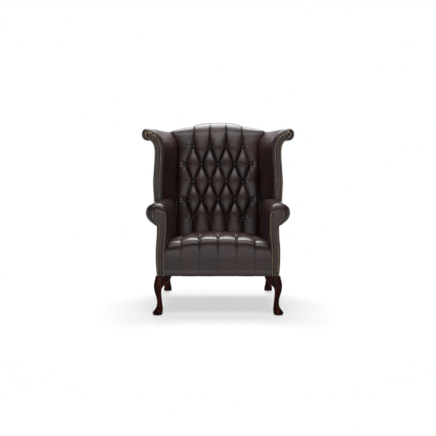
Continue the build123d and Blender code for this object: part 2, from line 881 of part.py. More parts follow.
def arm_section(depth, inset, floor):
    """The arm's solid cross-section, drawn in from its outer line by an inset."""
    station = depth / rear_station
    roll_x, roll_height, radius, face, neck_x, neck_height = arm_outline(station, inset, inset)
    neck = (neck_x + 0.3 * inset, neck_height + 1.15 * inset)
    with BuildSketch(Plane.XZ.offset(-front_y - depth)) as section:
        with BuildLine():
            Line((face, floor), (roll_x - radius, roll_height))
            ThreePointArc(
                (roll_x - radius, roll_height),
                (roll_x - 0.7071 * radius, roll_height + 0.7071 * radius),
                (roll_x, roll_height + radius),
            )
            ThreePointArc(
                (roll_x, roll_height + radius),
                (roll_x + 0.766 * radius, roll_height + 0.643 * radius),
                (roll_x + radius, roll_height + 0.1 * radius),
            )
            ThreePointArc(
                (roll_x + radius, roll_height + 0.1 * radius),
                (roll_x + 0.69 * radius, roll_height - 0.55 * radius),
                neck,
            )
            Polyline(neck, (neck_x - panel_leather / 2 + inset, floor), (face, floor))
        make_face()
    return section.sketch


edge_shares = ((0.0, 0.8), (0.1, 0.5), (0.3, 0.25), (0.6, 0.08), (1.0, 0.0))
with BuildPart() as arm_envelope:
    rings = [arm_section(depth * arm_edge, inset * arm_edge, arm_floor) for depth, inset in edge_shares]
    rings.append(arm_section(rear_station, 0, arm_floor))
    loft(rings, ruled=True)

with BuildPart() as arm_hollow:
    loft([arm_section(facing_depth, arm_pad, arm_floor - overrun),
          arm_section(rear_station, arm_pad, arm_floor - overrun)], ruled=True)


def facing_sketch(plane, inset):
    """The teardrop arm facing with its column, down to the bottom edge."""
    neck_y = neck_height_front
    side_x = neck_x_front - panel_leather
    with BuildSketch(plane) as outline:
        with BuildLine():
            Polyline(
                (body_half_bottom - panel_leather, leg_height),
                (facing_inner, leg_height),
                (facing_inner, body_middle_height),
                (head_x - head_radius, neck_y - head_radius / 2),
                (head_x - head_radius, head_height),
            )
            ThreePointArc(
                (head_x - head_radius, head_height),
                (head_x - 0.68 * head_radius, head_height + 0.76 * head_radius),
                (head_x + 0.08 * head_radius, head_height + head_radius),
            )
            ThreePointArc(
                (head_x + 0.08 * head_radius, head_height + head_radius),
                (head_x + 0.74 * head_radius, head_height + 0.84 * head_radius),
                (head_x + 0.92 * head_radius, head_height + 0.32 * head_radius),
            )
            ThreePointArc(
                (head_x + 0.92 * head_radius, head_height + 0.32 * head_radius),
                (head_x + 0.7 * head_radius, head_height - 0.32 * head_radius),
                (head_x + 0.06 * head_radius, head_height - 0.94 * head_radius),
            )
            Polyline(
                (head_x + 0.06 * head_radius, head_height - 0.94 * head_radius),
                (head_x - 0.1 * head_radius, neck_y + 0.3 * head_radius),
                (head_x - 0.1 * head_radius, neck_y),
                (side_x, neck_y - 0.4 * head_radius),
            )
            ThreePointArc(
                (side_x, neck_y - 0.4 * head_radius),
                (body_half_middle - panel_leather, body_middle_height),
                (body_half_bottom - panel_leather, leg_height),
            )
        make_face()
        if inset:
            offset(amount=-inset)
    return outline.sketch


arm_front = Plane.XZ.offset(-front_y)
with BuildPart() as arm_facing:
    extrude(facing_sketch(arm_front, fit_gap), amount=-facing_depth + fit_gap)
right_pieces["arm_facing"] = arm_facing.part

with BuildPart() as arm_stump:
    extrude(facing_sketch(arm_front.offset(-facing_depth), lining), amount=-stump_thickness)
    split(bisect_by=Plane.XY.offset(rail_top), keep=Keep.TOP)
right_pieces["arm_stump"] = arm_stump.part

with BuildPart() as arm_rail:
    rail_front = facing_depth + stump_thickness
    rail_level = arm_wing_height - wing_pad - arm_rail_height
    rail_low = rail_level - arm_rail_height / 2
    rail_rear = seat_depth + (rail_low - back_base_height) * slope - post_rear / lean_cos
    for depth, x in ((rail_front, head_x), (rail_rear, back_half_width + arm_rail_width / 2)):
        with BuildSketch(Plane.XZ.offset(-front_y - depth)):
            with Locations((x, rail_level)):
                Rectangle(arm_rail_width, arm_rail_height)
    loft(ruled=True)
right_pieces["arm_rail"] = arm_rail.part


def panel_section(depth, inset):
    """The outside arm panel's cross-section, thinned at its front edge by an inset."""
    station = depth / rear_station
    neck_x = neck_x_front + (body_half_rear - neck_x_front) * station
    neck_height = neck_height_front + (neck_height_rear - neck_height_front) * station
    middle = body_half_middle + (body_half_rear + body_bulge_rear - body_half_middle) * station
    bottom = body_half_bottom + (body_half_rear - body_half_bottom) * station
    with BuildSketch(Plane.XZ.offset(-front_y - depth)) as section:
        with BuildLine():
            ThreePointArc(
                (neck_x - inset, neck_height),
                (middle - inset, body_middle_height),
                (bottom - inset, leg_height),
            )
            Line((bottom - inset, leg_height), (bottom - panel_leather, leg_height))
            ThreePointArc(
                (bottom - panel_leather, leg_height),
                (middle - panel_leather, body_middle_height),
                (neck_x - panel_leather, neck_height),
            )
            Line((neck_x - panel_leather, neck_height), (neck_x - inset, neck_height))
        make_face()
    return section.sketch


with BuildPart() as outside_arm_cover:
    rings = [panel_section(depth * arm_edge, inset * panel_leather) for depth, inset in edge_shares]
    rings.append(panel_section(rear_station, 0))
    loft(rings, ruled=True)
    split(bisect_by=back_plane.offset(outside_face), keep=Keep.TOP)
right_pieces["outside_arm_cover"] = outside_arm_cover.part

# The wing: corners of its scroll in scroll radii from the scroll's centre, then inward ways
scroll_shares = {
    "top": (-0.16, 1.0, 0.0, -1.0),
    "top_side": (0.7, 0.72, -0.7, -0.7),
    "side": (1.0, 0.0, -1.0, 0.0),
    "low_side": (0.7, -0.72, -0.7, 0.7),
    "throat": (-0.32, -0.95, 0.0, 1.0),
}


def wing_corners(rear):
    """The wing outline's named corners on its front or rear plane, as x and height."""
    centre_x = scroll_x_rear if rear else scroll_x_front
    centre_z = scroll_height_rear if rear else scroll_height_front
    radius = scroll_radius_rear if rear else scroll_radius_front
    inner = wing_inner_rear if rear else wing_inner_front
    outer = wing_outer_rear if rear else wing_outer_front
    foot_inner = wing_inner_rear if rear else wing_foot_inner_front
    foot_outer = body_half_rear if rear else wing_foot_outer_front
    corners = {"foot_in": (foot_inner, wing_floor, 1, 0), "foot_out": (foot_outer, wing_floor, -1, 0)}
    corners["in"] = (inner, centre_z - 2.1 * radius, 1, 0)
    corners["waist"] = (outer, centre_z - 3.1 * radius, -1, 0)
    for name, (x_share, z_share, way_x, way_z) in scroll_shares.items():
        corners[name] = (centre_x + x_share * radius, centre_z + z_share * radius, way_x, way_z)
    top, throat = corners["top"], corners["throat"]
    inside, waist = corners["in"], corners["waist"]
    corners["neck"] = (
        inside[0] + 0.333 * (top[0] - inside[0]), inside[1] + 0.718 * (top[1] - inside[1]), 0.75, -0.66)
    corners["hollow"] = (
        waist[0] + 0.19 * (throat[0] - waist[0]), waist[1] + 0.66 * (throat[1] - waist[1]), -0.9, 0.4)
    return corners


inner_names = ("foot_in", "in", "neck", "top", "top_side", "side", "low_side", "throat")


def wing_plane_at(rear, depth):
    """The drawing plane of a wing section, and the height that maps to its origin."""
    if rear:
        return back_plane.offset(back_rear - overrun)
    return wing_plane.offset(-depth)


def wing_points(rear, depth, pad, skin):
    """Local points of the wing outline, inset by a pad on its inner side and a skin outside."""
    plane = wing_plane_at(rear, depth)
    points = {}
    for name, (x, height, way_x, way_z) in wing_corners(rear).items():
        inset = pad if name in inner_names else skin
        if name == "throat":
            inset = max(skin, pad / 2)
        rise = (height - plane.origin.Z) / plane.y_dir.Z
        points[name] = (x + inset * way_x, rise + inset * way_z)
    return plane, points


def wing_section(rear, depth, pad, skin, drop=0):
    """The closed outline of the wing, its foot lowered by a drop."""
    plane, p = wing_points(rear, depth, pad, skin)
    foot_in = (p["foot_in"][0], p["foot_in"][1] - drop)
    foot_out = (p["foot_out"][0], p["foot_out"][1] - drop)
    with BuildSketch(plane) as section:
        with BuildLine():
            Line(foot_in, p["in"])
            ThreePointArc(p["in"], p["neck"], p["top"])
            ThreePointArc(p["top"], p["top_side"], p["side"])
            ThreePointArc(p["side"], p["low_side"], p["throat"])
            ThreePointArc(p["throat"], p["hollow"], p["waist"])
            Polyline(p["waist"], foot_out, foot_in)
        make_face()
    return section.sketch


def wing_panel_section(rear, depth, outside, inside):
    """The outside wing panel between two insets of the wing's outer line."""
    plane, near = wing_points(rear, depth, outside, outside)
    _, far = wing_points(rear, depth, inside, inside)
    with BuildSketch(plane) as section:
        with BuildLine():
            ThreePointArc(near["throat"], near["hollow"], near["waist"])
            Polyline(near["waist"], near["foot_out"], far["foot_out"], far["waist"])
            ThreePointArc(far["waist"], far["hollow"], far["throat"])
            Line(far["throat"], near["throat"])
        make_face()
    return section.sketch


with BuildPart() as wing_envelope:
    rings = [
        wing_section(False, depth * wing_edge, inset * wing_edge, inset * panel_leather)
        for depth, inset in edge_shares
    ]
    rings.append(wing_section(True, 0, 0, 0))
    loft(rings, ruled=True)


def wing_inner_line(rear, depth, pad):
    """Straight runs along the wing's inner side, from its foot over the scroll to the throat."""
    plane, p = wing_points(rear, depth, pad, 0)
    line = [p["foot_in"], p["in"]]
    for first, middle, last in (
        ("in", "neck", "top"),
        ("top", "top_side", "side"),
        ("side", "low_side", "throat"),
    ):
        arc = Edge.make_three_point_arc(Vector(*p[first]), Vector(*p[middle]), Vector(*p[last]))
        for step in range(1, arc_runs + 1):
            place = arc.position_at(step / arc_runs)
            line.append((place.X, place.Y))
    return plane, line


def wing_cover_section(rear, depth, near, far):
    """The padded band of the wing's inner side, from one inset to another."""
    plane, outer = wing_inner_line(rear, depth, near)
    _, inner = wing_inner_line(rear, depth, far)
    with BuildSketch(plane) as section:
        Polygon(*outer, *inner[::-1], align=None)
    return section.sketch


# The whole back as one block, which the arms and wings end against
with BuildPart() as back_block:
    extrude(crest_sketch(back_plane.offset(outside_face - overrun), back_half_width, 0,
                         back_bottom_height - 2 * overrun),
            amount=overrun - outside_face + fit_gap)

with BuildPart() as inside_arm_cover:
    add(arm_envelope.part)
    add(arm_hollow.part, mode=Mode.SUBTRACT)
    extrude(facing_sketch(arm_front.offset(overrun), 0), amount=-overrun - facing_depth, mode=Mode.SUBTRACT)
    add(back_block.part, mode=Mode.SUBTRACT)
    split(bisect_by=back_plane.offset(outside_face), keep=Keep.TOP)
right_pieces["inside_arm_cover"] = inside_arm_cover.part

with BuildPart() as inside_wing_cover:
    rings = [
        wing_cover_section(False, depth * wing_edge, inset * wing_edge, wing_pad)
        for depth, inset in edge_shares
    ]
    rings.append(wing_cover_section(True, 0, 0, wing_pad / 2))
    loft(rings, ruled=True)
    add(arm_envelope.part, mode=Mode.SUBTRACT)
    add(back_block.part, mode=Mode.SUBTRACT)
    split(bisect_by=back_plane.offset(outside_face), keep=Keep.TOP)
right_pieces["inside_wing_cover"] = inside_wing_cover.part.solids().sort_by(SortBy.VOLUME)[-1]

with BuildPart() as outside_wing_cover:
    rings = [
        wing_panel_section(False, depth * wing_edge, inset * panel_leather, panel_leather)
        for depth, inset in edge_shares
    ]
    rings.append(wing_panel_section(True, 0, 0, panel_leather))
    loft(rings, ruled=True)
    add(arm_envelope.part, mode=Mode.SUBTRACT)
    add(back_block.part, mode=Mode.SUBTRACT)
    split(bisect_by=back_plane.offset(outside_face), keep=Keep.TOP)
right_pieces["outside_wing_cover"] = outside_wing_cover.part.solids().sort_by(SortBy.VOLUME)[-1]

with BuildPart() as wing_facing:
    extrude(wing_section(False, facing_depth, wing_pad + fit_gap, panel_leather + fit_gap),
            amount=facing_depth)
    add(arm_envelope.part, mode=Mode.SUBTRACT)
right_pieces["wing_facing"] = wing_facing.part.solids().sort_by(SortBy.VOLUME)[-1]

with BuildPart() as wing_post:
    extrude(
        wing_section(
            False, facing_depth + wing_board, wing_pad + fit_gap, panel_leather + wing_board / 4, overrun
        ),
        amount=wing_board,
    )
    add(arm_rail.part, mode=Mode.SUBTRACT)
    add(inside_arm_cover.part, mode=Mode.SUBTRACT)
right_pieces["wing_post"] = wing_post.part.solids().sort_by(SortBy.VOLUME)[-1]

with BuildPart() as wing_top_rail:
    for rear, depth, x, height in (
        (False, facing_depth + wing_board, scroll_x_front, scroll_height_front),
        (True, 0, scroll_x_rear, scroll_height_rear),
    ):
        rail_end = wing_plane_at(rear, depth)
        with BuildSketch(rail_end):
            with Locations((x - wing_rail / 4, (height - rail_end.origin.Z) / rail_end.y_dir.Z)):
                Rectangle(wing_rail, wing_rail)
    loft(ruled=True)
    add(back_block.part, mode=Mode.SUBTRACT)
    split(bisect_by=back_plane.offset(post_rear), keep=Keep.TOP)
right_pieces["wing_top_rail"] = wing_top_rail.part

# Seat leather and foam, cut to the arms and the back
with BuildPart() as arm_cutter:
    add(arm_envelope.part)
    mirror(arm_envelope.part, about=Plane.YZ)

with BuildPart() as seat_cover:
    loft([seat_profile(share * border_half_width, 0, rail_bottom) for share in seat_station_shares],
         ruled=True)
    seat_inside = [seat_profile(share * (border_half_width + overrun), seat_leather, rail_bottom - overrun)
                   for share in seat_station_shares]
    loft(seat_inside, ruled=True, mode=Mode.SUBTRACT)
    for stations in seat_pillows:
        loft(pillow(stations), ruled=True)
    add(arm_cutter.part, mode=Mode.SUBTRACT)
    split(bisect_by=back_plane.offset(fit_gap), keep=Keep.TOP)
    with Locations(*[place * Location((0, 0, -pocket_depth)) for place in seat_button_spots]):
        Cylinder(button_radius + pocket_gap, overrun, align=(Align.CENTER, Align.CENTER, Align.MIN),
                 mode=Mode.SUBTRACT)

with BuildPart() as seat_buttons:
    with Locations(*seat_button_spots):
        add(button.part)

with BuildPart() as seat_foam:
    foam_half = block_inner - fit_gap
    rings = [
        seat_profile(share * (border_half_width + overrun), seat_leather + fit_gap, foam_floor)
        for share in seat_station_shares
    ]
    loft(rings, ruled=True)
    with BuildSketch(Plane.XY.offset(foam_floor)):
        with Locations((0, front_y + side_rail_front + border_depth)):
            Rectangle(2 * foam_half, 2 * seat_depth, align=(Align.CENTER, Align.MIN))
    extrude(amount=seat_height, mode=Mode.INTERSECT)
    add(arm_cutter.part, mode=Mode.SUBTRACT)
    split(bisect_by=back_plane.offset(fit_gap), keep=Keep.TOP)

with BuildPart() as dust_cover:
    dust_rear = rear_leg_top_depth + leg_block / 3
    with Locations(spot(0, (leg_block_front + dust_rear) / 2, rail_bottom - dust_cloth / 2)):
        Box(2 * block_inner - pocket_depth, dust_rear - leg_block_front, dust_cloth)

# Outside back: one leather panel cut to the outline of everything in front of it
with BuildPart() as outside_back_cover:
    add(arm_envelope.part)
    mirror(arm_envelope.part, about=Plane.YZ)
    add(wing_envelope.part)
    mirror(wing_envelope.part, about=Plane.YZ)
    extrude(crest_sketch(back_plane.offset(outside_face - overrun), back_half_width, crest_roll / 2,
                         leg_height - overrun),
            amount=2 * overrun)
    with BuildSketch(back_plane.offset(outside_face - overrun)):
        with Locations((0, back_rise(leg_height) - overrun)):
            Rectangle(2 * body_half_rear, back_rise(arm_wing_height) - back_rise(leg_height) + overrun,
                      align=(Align.CENTER, Align.MIN))
    extrude(amount=2 * overrun)
    with BuildSketch(back_plane.offset(back_rear)):
        Rectangle(4 * seat_depth, 4 * overall_height)
    extrude(amount=outside_leather, mode=Mode.INTERSECT)
    split(bisect_by=Plane.XY.offset(leg_height), keep=Keep.TOP)

# Dress nails round the facings and the outside back
with BuildLine(arm_front) as arm_nail_line:
    column_x = body_half_middle - panel_leather - nail_inset
    Polyline(
        (body_half_bottom - nail_inset, leg_height + nail_radius),
        (facing_inner + nail_inset / 3, leg_height + nail_radius),
        (facing_inner + nail_inset / 3, body_middle_height),
        (head_x - head_radius, neck_height_front - head_radius / 2),
        (head_x - head_radius, head_height),
    )
    ThreePointArc(
        (head_x - head_radius, head_height),
        (head_x - 0.68 * head_radius, head_height + 0.76 * head_radius),
        (head_x + 0.08 * head_radius, head_height + head_radius),
    )
    ThreePointArc(
        (head_x + 0.08 * head_radius, head_height + head_radius),
        (head_x + 0.74 * head_radius, head_height + 0.84 * head_radius),
        (head_x + 0.92 * head_radius, head_height + 0.32 * head_radius),
    )
    ThreePointArc(
        (head_x + 0.92 * head_radius, head_height + 0.32 * head_radius),
        (head_x + 0.7 * head_radius, head_height - 0.32 * head_radius),
        (head_x + 0.06 * head_radius, head_height - 0.94 * head_radius),
    )
    Polyline(
        (head_x + 0.06 * head_radius, head_height - 0.94 * head_radius),
        (head_x - 0.14 * head_radius, neck_height_front + 0.3 * head_radius),
        (head_x - 0.1 * head_radius, neck_height_front - 0.6 * head_radius),
        (column_x, body_middle_height),
        (body_half_bottom - nail_inset, leg_height + nail_pitch + nail_radius),
    )
with BuildPart() as arm_nails:
    with Locations(*nail_places(arm_nail_line.wire(), (0, -1, 0))):
        add(nail.part)
right_pieces["arm_nails"] = arm_nails.part

wing_front, outer_row = wing_points(False, 0, wing_pad, panel_leather)
wing_start = (arm_wing_height + nail_pitch / 2 - wing_front.origin.Z) / wing_front.y_dir.Z
_, inner_row = wing_points(False, 0, wing_pad, panel_leather + nail_inset / 2)
with BuildLine(wing_front) as wing_nail_line:
    Line((inner_row["foot_in"][0], wing_start), inner_row["in"])
    ThreePointArc(inner_row["in"], inner_row["neck"], inner_row["top"])
    ThreePointArc(inner_row["top"], inner_row["top_side"], inner_row["side"])
    ThreePointArc(inner_row["side"], inner_row["low_side"], inner_row["throat"])
    ThreePointArc(inner_row["throat"], inner_row["hollow"], inner_row["waist"])
    Line(inner_row["waist"], (inner_row["foot_out"][0], wing_start))
with BuildPart() as wing_nails:
    with Locations(*nail_places(wing_nail_line.wire(), wing_front.z_dir)):
        add(nail.part)
right_pieces["wing_nails"] = wing_nails.part

with BuildPart() as back_nails:
    nail_face = back_plane.offset(back_rear)
    row_top = outside_top - back_nail_inset
    row_fall = crest_rise(crest_fall_height) - crest_roll / 2 - back_nail_inset
    row_corner = crest_rise(crest_end_height) - crest_roll / 2 - back_nail_inset
    row_wing = back_rise(scroll_height_rear - 3 * scroll_radius_rear)
    row_foot = back_rise(leg_height, back_rear) + back_nail_inset
    with BuildLine(nail_face) as back_nail_line:
        for side in (-1, 1):
            Polyline(
                (side * crest_flat_half, row_top),
                (side * crest_fall_half, row_fall),
                (side * (wing_outer_rear - back_nail_inset), row_corner),
                (side * (wing_outer_rear - back_nail_inset), row_wing),
                (side * (body_half_rear - back_nail_inset), back_rise(arm_wing_height)),
                (side * (body_half_rear - back_nail_inset), row_foot),
            )
        Line((-crest_flat_half, row_top), (crest_flat_half, row_top))
    with Locations(*nail_places(back_nail_line.wire(), -back_plane.z_dir)):
        add(nail.part)

# Write every piece, the sided ones twice
for name, piece in right_pieces.items():
    keep(piece, f"{name}_right")
    with BuildPart() as twin:
        mirror(piece, about=Plane.YZ)
    keep(twin.part, f"{name}_left")
for name, piece in (
    ("foot_glides", foot_glides), ("front_rail", front_rail), ("rear_rail", rear_rail),
    ("corner_blocks", corner_blocks), ("leg_bolts", leg_bolts), ("stay_rail", stay_rail),
    ("crest_rail", crest_rail), ("back_webbing", back_webbing), ("back_foam", back_foam),
    ("inside_back_cover", inside_back_cover), ("back_buttons", back_buttons),
    ("seat_springs", seat_springs), ("spring_clips", spring_clips), ("spring_cloth", spring_cloth),
    ("seat_foam", seat_foam), ("seat_cover", seat_cover), ("seat_buttons", seat_buttons),
    ("dust_cover", dust_cover), ("outside_back_cover", outside_back_cover), ("back_nails", back_nails),
):
    keep(piece.part, name)
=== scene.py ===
from math import cos, pi, radians, sin

import bmesh
import bpy
import numpy as np
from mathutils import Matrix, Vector


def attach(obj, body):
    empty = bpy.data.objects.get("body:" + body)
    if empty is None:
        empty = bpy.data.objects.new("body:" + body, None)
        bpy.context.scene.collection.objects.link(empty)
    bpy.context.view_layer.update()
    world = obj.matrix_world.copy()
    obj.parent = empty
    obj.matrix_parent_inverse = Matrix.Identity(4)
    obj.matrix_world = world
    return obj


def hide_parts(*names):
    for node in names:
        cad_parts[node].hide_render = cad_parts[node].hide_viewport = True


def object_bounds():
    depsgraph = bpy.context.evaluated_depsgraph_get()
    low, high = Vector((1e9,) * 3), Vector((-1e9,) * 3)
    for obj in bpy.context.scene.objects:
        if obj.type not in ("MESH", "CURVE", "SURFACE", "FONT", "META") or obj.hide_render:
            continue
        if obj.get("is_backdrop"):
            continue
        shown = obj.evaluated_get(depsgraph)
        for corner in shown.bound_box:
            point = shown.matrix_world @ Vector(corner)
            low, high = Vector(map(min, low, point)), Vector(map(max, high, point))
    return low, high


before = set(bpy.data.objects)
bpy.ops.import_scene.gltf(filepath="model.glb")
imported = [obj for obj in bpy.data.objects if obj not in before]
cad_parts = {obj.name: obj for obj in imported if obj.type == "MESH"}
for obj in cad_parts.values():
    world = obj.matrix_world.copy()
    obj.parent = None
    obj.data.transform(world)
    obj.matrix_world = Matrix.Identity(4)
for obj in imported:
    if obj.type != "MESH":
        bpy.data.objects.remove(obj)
cad_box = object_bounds()


# The hidden timber frame: sawn beech rails, posts, stumps and blocks, glued and tenoned.
# It keeps the CAD meshes and gets the pale, straight-grained look of planed beech.
class Socket:
    """A shader socket that can stand in a sum: each operator adds its own Math node."""

    def __init__(self, finish, link):
        self.finish = finish
        self.link = link

    def maths(self, operation, first, second=None):
        inputs = {0: first} if second is None else {0: first, 1: second}
        return self.finish.add("ShaderNodeMath", inputs, operation=operation)

    def __add__(self, other):
        return self.maths("ADD", self, other)

    def __sub__(self, other):
        return self.maths("SUBTRACT", self, other)

    def __mul__(self, other):
        return self.maths("MULTIPLY", self, other)


class Finish:
    """One material: constants go on the shader's sockets, whatever varies is linked."""

    def __init__(self, name, **constants):
        self.material = bpy.data.materials.new(name)
        self.material.use_nodes = True
        self.tree = self.material.node_tree
        self.shader = self.tree.nodes["Principled BSDF"]
        for key, value in constants.items():
            self.shader.inputs[key.replace("_", " ")].default_value = value

    def add(self, kind, inputs=None, output=0, stops=(), **settings):
        """Adds a node with its settings, then its socket values or links, and gives one output."""
        node = self.tree.nodes.new(kind)
        for key, value in settings.items():
            setattr(node, key, value)
        for number, (position, colour) in enumerate(stops):
            ramp = node.color_ramp.elements
            stop = ramp[number] if number < len(ramp) else ramp.new(position)
            stop.position = position
            stop.color = (*colour, 1)
        for key, value in (inputs or {}).items():
            if isinstance(value, Socket):
                self.tree.links.new(value.link, node.inputs[key])
            else:
                node.inputs[key].default_value = value
        return Socket(self, node.outputs[output])

    def feed(self, **links):
        """Links values to the shader's sockets by name."""
        for key, value in links.items():
            self.tree.links.new(value.link, self.shader.inputs[key.replace("_", " ")])

    def place(self, stretch=(1, 1, 1)):
        """Object coordinates in metres, stretched along the three axes."""
        coordinates = self.add("ShaderNodeTexCoord", output="Object")
        return self.add("ShaderNodeMapping", {"Vector": coordinates, "Scale": stretch})

    def noise(self, where, scale, detail=3.0, rough=0.5):
        """Clouded noise with about as many clouds in a metre as the scale says."""
        inputs = {"Vector": where, "Scale": scale, "Detail": detail, "Roughness": rough}
        return self.add("ShaderNodeTexNoise", inputs)

    def ramp(self, share, *stops):
        """A colour that follows a share through stops of a position and a colour."""
        return self.add("ShaderNodeValToRGB", {"Fac": share}, stops=stops)

    def bump(self, height, distance, strength):
        """A relief whose height of 1 stands a distance in metres high."""
        return self.add("ShaderNodeBump", {"Height": height, "Distance": distance, "Strength": strength})


def timber(name, tones, grain, gloss, coat):
    """Wood: a ramp of tones along stretched noise, fine pores as bump and roughness."""
    finish = Finish(name, Coat_Weight=coat, Coat_Roughness=0.12, Specular_IOR_Level=0.03)
    where = finish.place(grain)
    figure = finish.noise(where, 9.0, 6.0, 0.62)
    pores = finish.noise(where, 90.0, 2.0, 0.5)
    finish.feed(
        Base_Color=finish.ramp(figure * 0.8 + pores * 0.2, *zip((0.34, 0.5, 0.66), tones)),
        Roughness=pores * 0.16 + gloss,
        Normal=finish.bump(pores, 0.0002, 0.35),
    )
    return finish.material


def dress(node, material):
    """Puts a material on a CAD node that keeps its own mesh."""
    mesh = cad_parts[node].data
    mesh.materials.clear()
    mesh.materials.append(material)


beech_tones = ((0.42, 0.27, 0.14), (0.55, 0.38, 0.22), (0.66, 0.49, 0.31))
beech_across = timber("beech_across", beech_tones, (0.35, 4, 4), 0.5, 0.0)
beech_along = timber("beech_along", beech_tones, (4, 0.35, 4), 0.5, 0.0)
beech_up = timber("beech_up", beech_tones, (4, 4, 0.35), 0.5, 0.0)
sides = ((1, "right"), (-1, "left"))
for beam in ("front_rail", "rear_rail", "stay_rail", "crest_rail", "corner_blocks"):
    dress(beam, beech_across)
for _, word in sides:
    for beam in ("side_rail", "arm_rail", "wing_top_rail"):
        dress(f"{beam}_{word}", beech_along)
    for beam in ("arm_stump", "back_post", "wing_post"):
        dress(f"{beam}_{word}", beech_up)


# Springs, clips and bolts: plain bright steel wire and hardware, under the stuffing and in
# the front corners. They keep the CAD meshes and get fine drawn streaks in the steel.
steel = Finish("spring_steel", Metallic=1.0)
streaks = steel.noise(steel.place(), 260.0, 2.0)
steel.feed(
    Base_Color=steel.ramp(streaks, (0.3, (0.35, 0.35, 0.36)), (0.7, (0.58, 0.58, 0.6))),
    Roughness=streaks * 0.25 + 0.25,
)
for hardware in ("seat_springs", "spring_clips", "leg_bolts"):
    dress(hardware, steel.material)


# Webbing, spring cloth and the black cambric under the seat: woven goods, stapled or tacked
# to the frame. They keep the CAD meshes and get a weave.
def woven(name, dark, pale, thread):
    """Plain weave: two crossed sine ridges a thread apart, as colour and bump."""
    finish = Finish(name, Roughness=0.9)
    where = finish.place()
    parts = [finish.add("ShaderNodeSeparateXYZ", {"Vector": where}, output=axis) for axis in (0, 1)]
    ridges = [part.maths("SINE", part * (2 * pi / thread)) for part in parts]
    weave = ridges[0] * ridges[1] * 0.5 + 0.5
    finish.feed(
        Base_Color=finish.ramp(weave, (0.2, dark), (0.8, pale)),
        Normal=finish.bump(weave, 0.0004, 0.6),
    )
    return finish.material


dress("back_webbing", woven("webbing_weave", (0.03, 0.028, 0.026), (0.09, 0.08, 0.07), 0.004))
dress("spring_cloth", woven("hessian_weave", (0.22, 0.16, 0.09), (0.42, 0.33, 0.2), 0.003))
dress("dust_cover", woven("cambric_weave", (0.012, 0.012, 0.013), (0.03, 0.03, 0.032), 0.0012))


# Glides: moulded nylon studs under the four feet, scuffed by the floor.
# They keep the CAD mesh.
nylon = Finish("glide_nylon")
scuffs = nylon.noise(nylon.place(), 300.0)
nylon.feed(
    Base_Color=nylon.ramp(scuffs, (0.3, (0.03, 0.028, 0.025)), (0.7, (0.07, 0.065, 0.06))),
    Roughness=scuffs * 0.2 + 0.45,
)
dress("foot_glides", nylon.material)


# Front legs: solid mahogany cabrioles with a pad foot, bandsawn and rasped from one block,
# then stained dark and French polished. Beside each knee two small shaped ears are glued to
# the leg and under the rails, one along the front and one along the side.
front_y = -0.36562
mahogany_tones = ((0.003, 0.0004, 0.0003), (0.016, 0.0016, 0.0006), (0.075, 0.009, 0.0025))
mahogany = timber("dark_mahogany", mahogany_tones, (5, 5, 0.8), 0.2, 0.06)


def trace(points, where):
    """Smooth line through points: a cubic between neighbours with finite-difference slopes,
    read at a place counted in points, so 2.5 is half way from the third to the fourth."""
    chord = np.linalg.norm(np.diff(points, axis=0), axis=1) + 1e-9
    slope = np.gradient(points, np.concatenate([[0], np.cumsum(chord)]), axis=0)
    k = np.clip(where.astype(int), 0, len(points) - 2)
    t = (where - k)[..., None]
    reach = chord[k][..., None]
    return (
        (2 * t**3 - 3 * t**2 + 1) * points[k]
        + (t**3 - 2 * t**2 + t) * reach * slope[k]
        + (3 * t**2 - 2 * t**3) * points[k + 1]
        + (t**3 - t**2) * reach * slope[k + 1]
    )


def at_depth(x, depth, z):
    """Points from x, the depth behind the chair's front plane and the height."""
    return np.stack(np.broadcast_arrays(x, front_y + depth, z), axis=-1)


def grid_quads(rows, columns, closed):
    """Corner numbers of a grid's quads; a closed grid joins its last column to its first."""
    index = np.arange(rows * columns).reshape(rows, columns)
    if closed:
        index = np.concatenate([index, index[:, :1]], axis=1)
    corners = [index[:-1, :-1], index[:-1, 1:], index[1:, 1:], index[1:, :-1]]
    return np.stack(corners, axis=-1).reshape(-1, 4)


def make_piece(name, points, faces, material, fold_shade, seam=1e-6):
    """A smooth mesh at the origin, with points nearer than the seam joined. Fold shade says
    how much painted shade the leather gets at each point, in its folds, pits and grooves."""
    mesh = bpy.data.meshes.new(name)
    mesh.from_pydata(points.reshape(-1, 3).tolist(), [], faces)
    mesh.shade_smooth()
    if fold_shade is not None:
        mesh.attributes.new("fold_shade", "FLOAT", "POINT").data.foreach_set("value", fold_shade.ravel())
    joined = bmesh.new()
    joined.from_mesh(mesh)
    bmesh.ops.remove_doubles(joined, verts=joined.verts, dist=seam)
    joined.to_mesh(mesh)
    joined.free()
    mesh.materials.append(material)
    piece = bpy.data.objects.new(name, mesh)
    bpy.context.collection.objects.link(piece)
    return piece


def skin(name, grid, material, side=1, closed=False, caps=False, flip=False, fold_shade=None, seam=1e-6):
    """A surface over a grid of points, rows by columns by xyz. Side -1 mirrors it to the
    left, caps close its first and last rows, and flip turns its faces over."""
    rows, columns = grid.shape[:2]
    faces = grid_quads(rows, columns, closed).tolist()
    if caps:
        faces.append(list(range(columns))[::-1])
        faces.append(list(range((rows - 1) * columns, rows * columns)))
    if flip != (side < 0):
        faces = [face[::-1] for face in faces]
    return make_piece(name, grid * (side, 1, 1), faces, material, fold_shade, seam)


def settle(piece, slot, *nodes):
    """Rides on the one body and stands for its nodes, which it hides; the slot is not used."""
    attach(piece, "root")
    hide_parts(*nodes)


def squared(wave, power):
    """A sine or cosine to a power, with its sign kept: two of them make a superellipse."""
    return np.sign(wave) * np.abs(wave) ** power


def full_turn(columns):
    """Even angles round a circle, 2 pi / columns apart."""
    return np.linspace(0, 2 * pi, columns, endpoint=False)


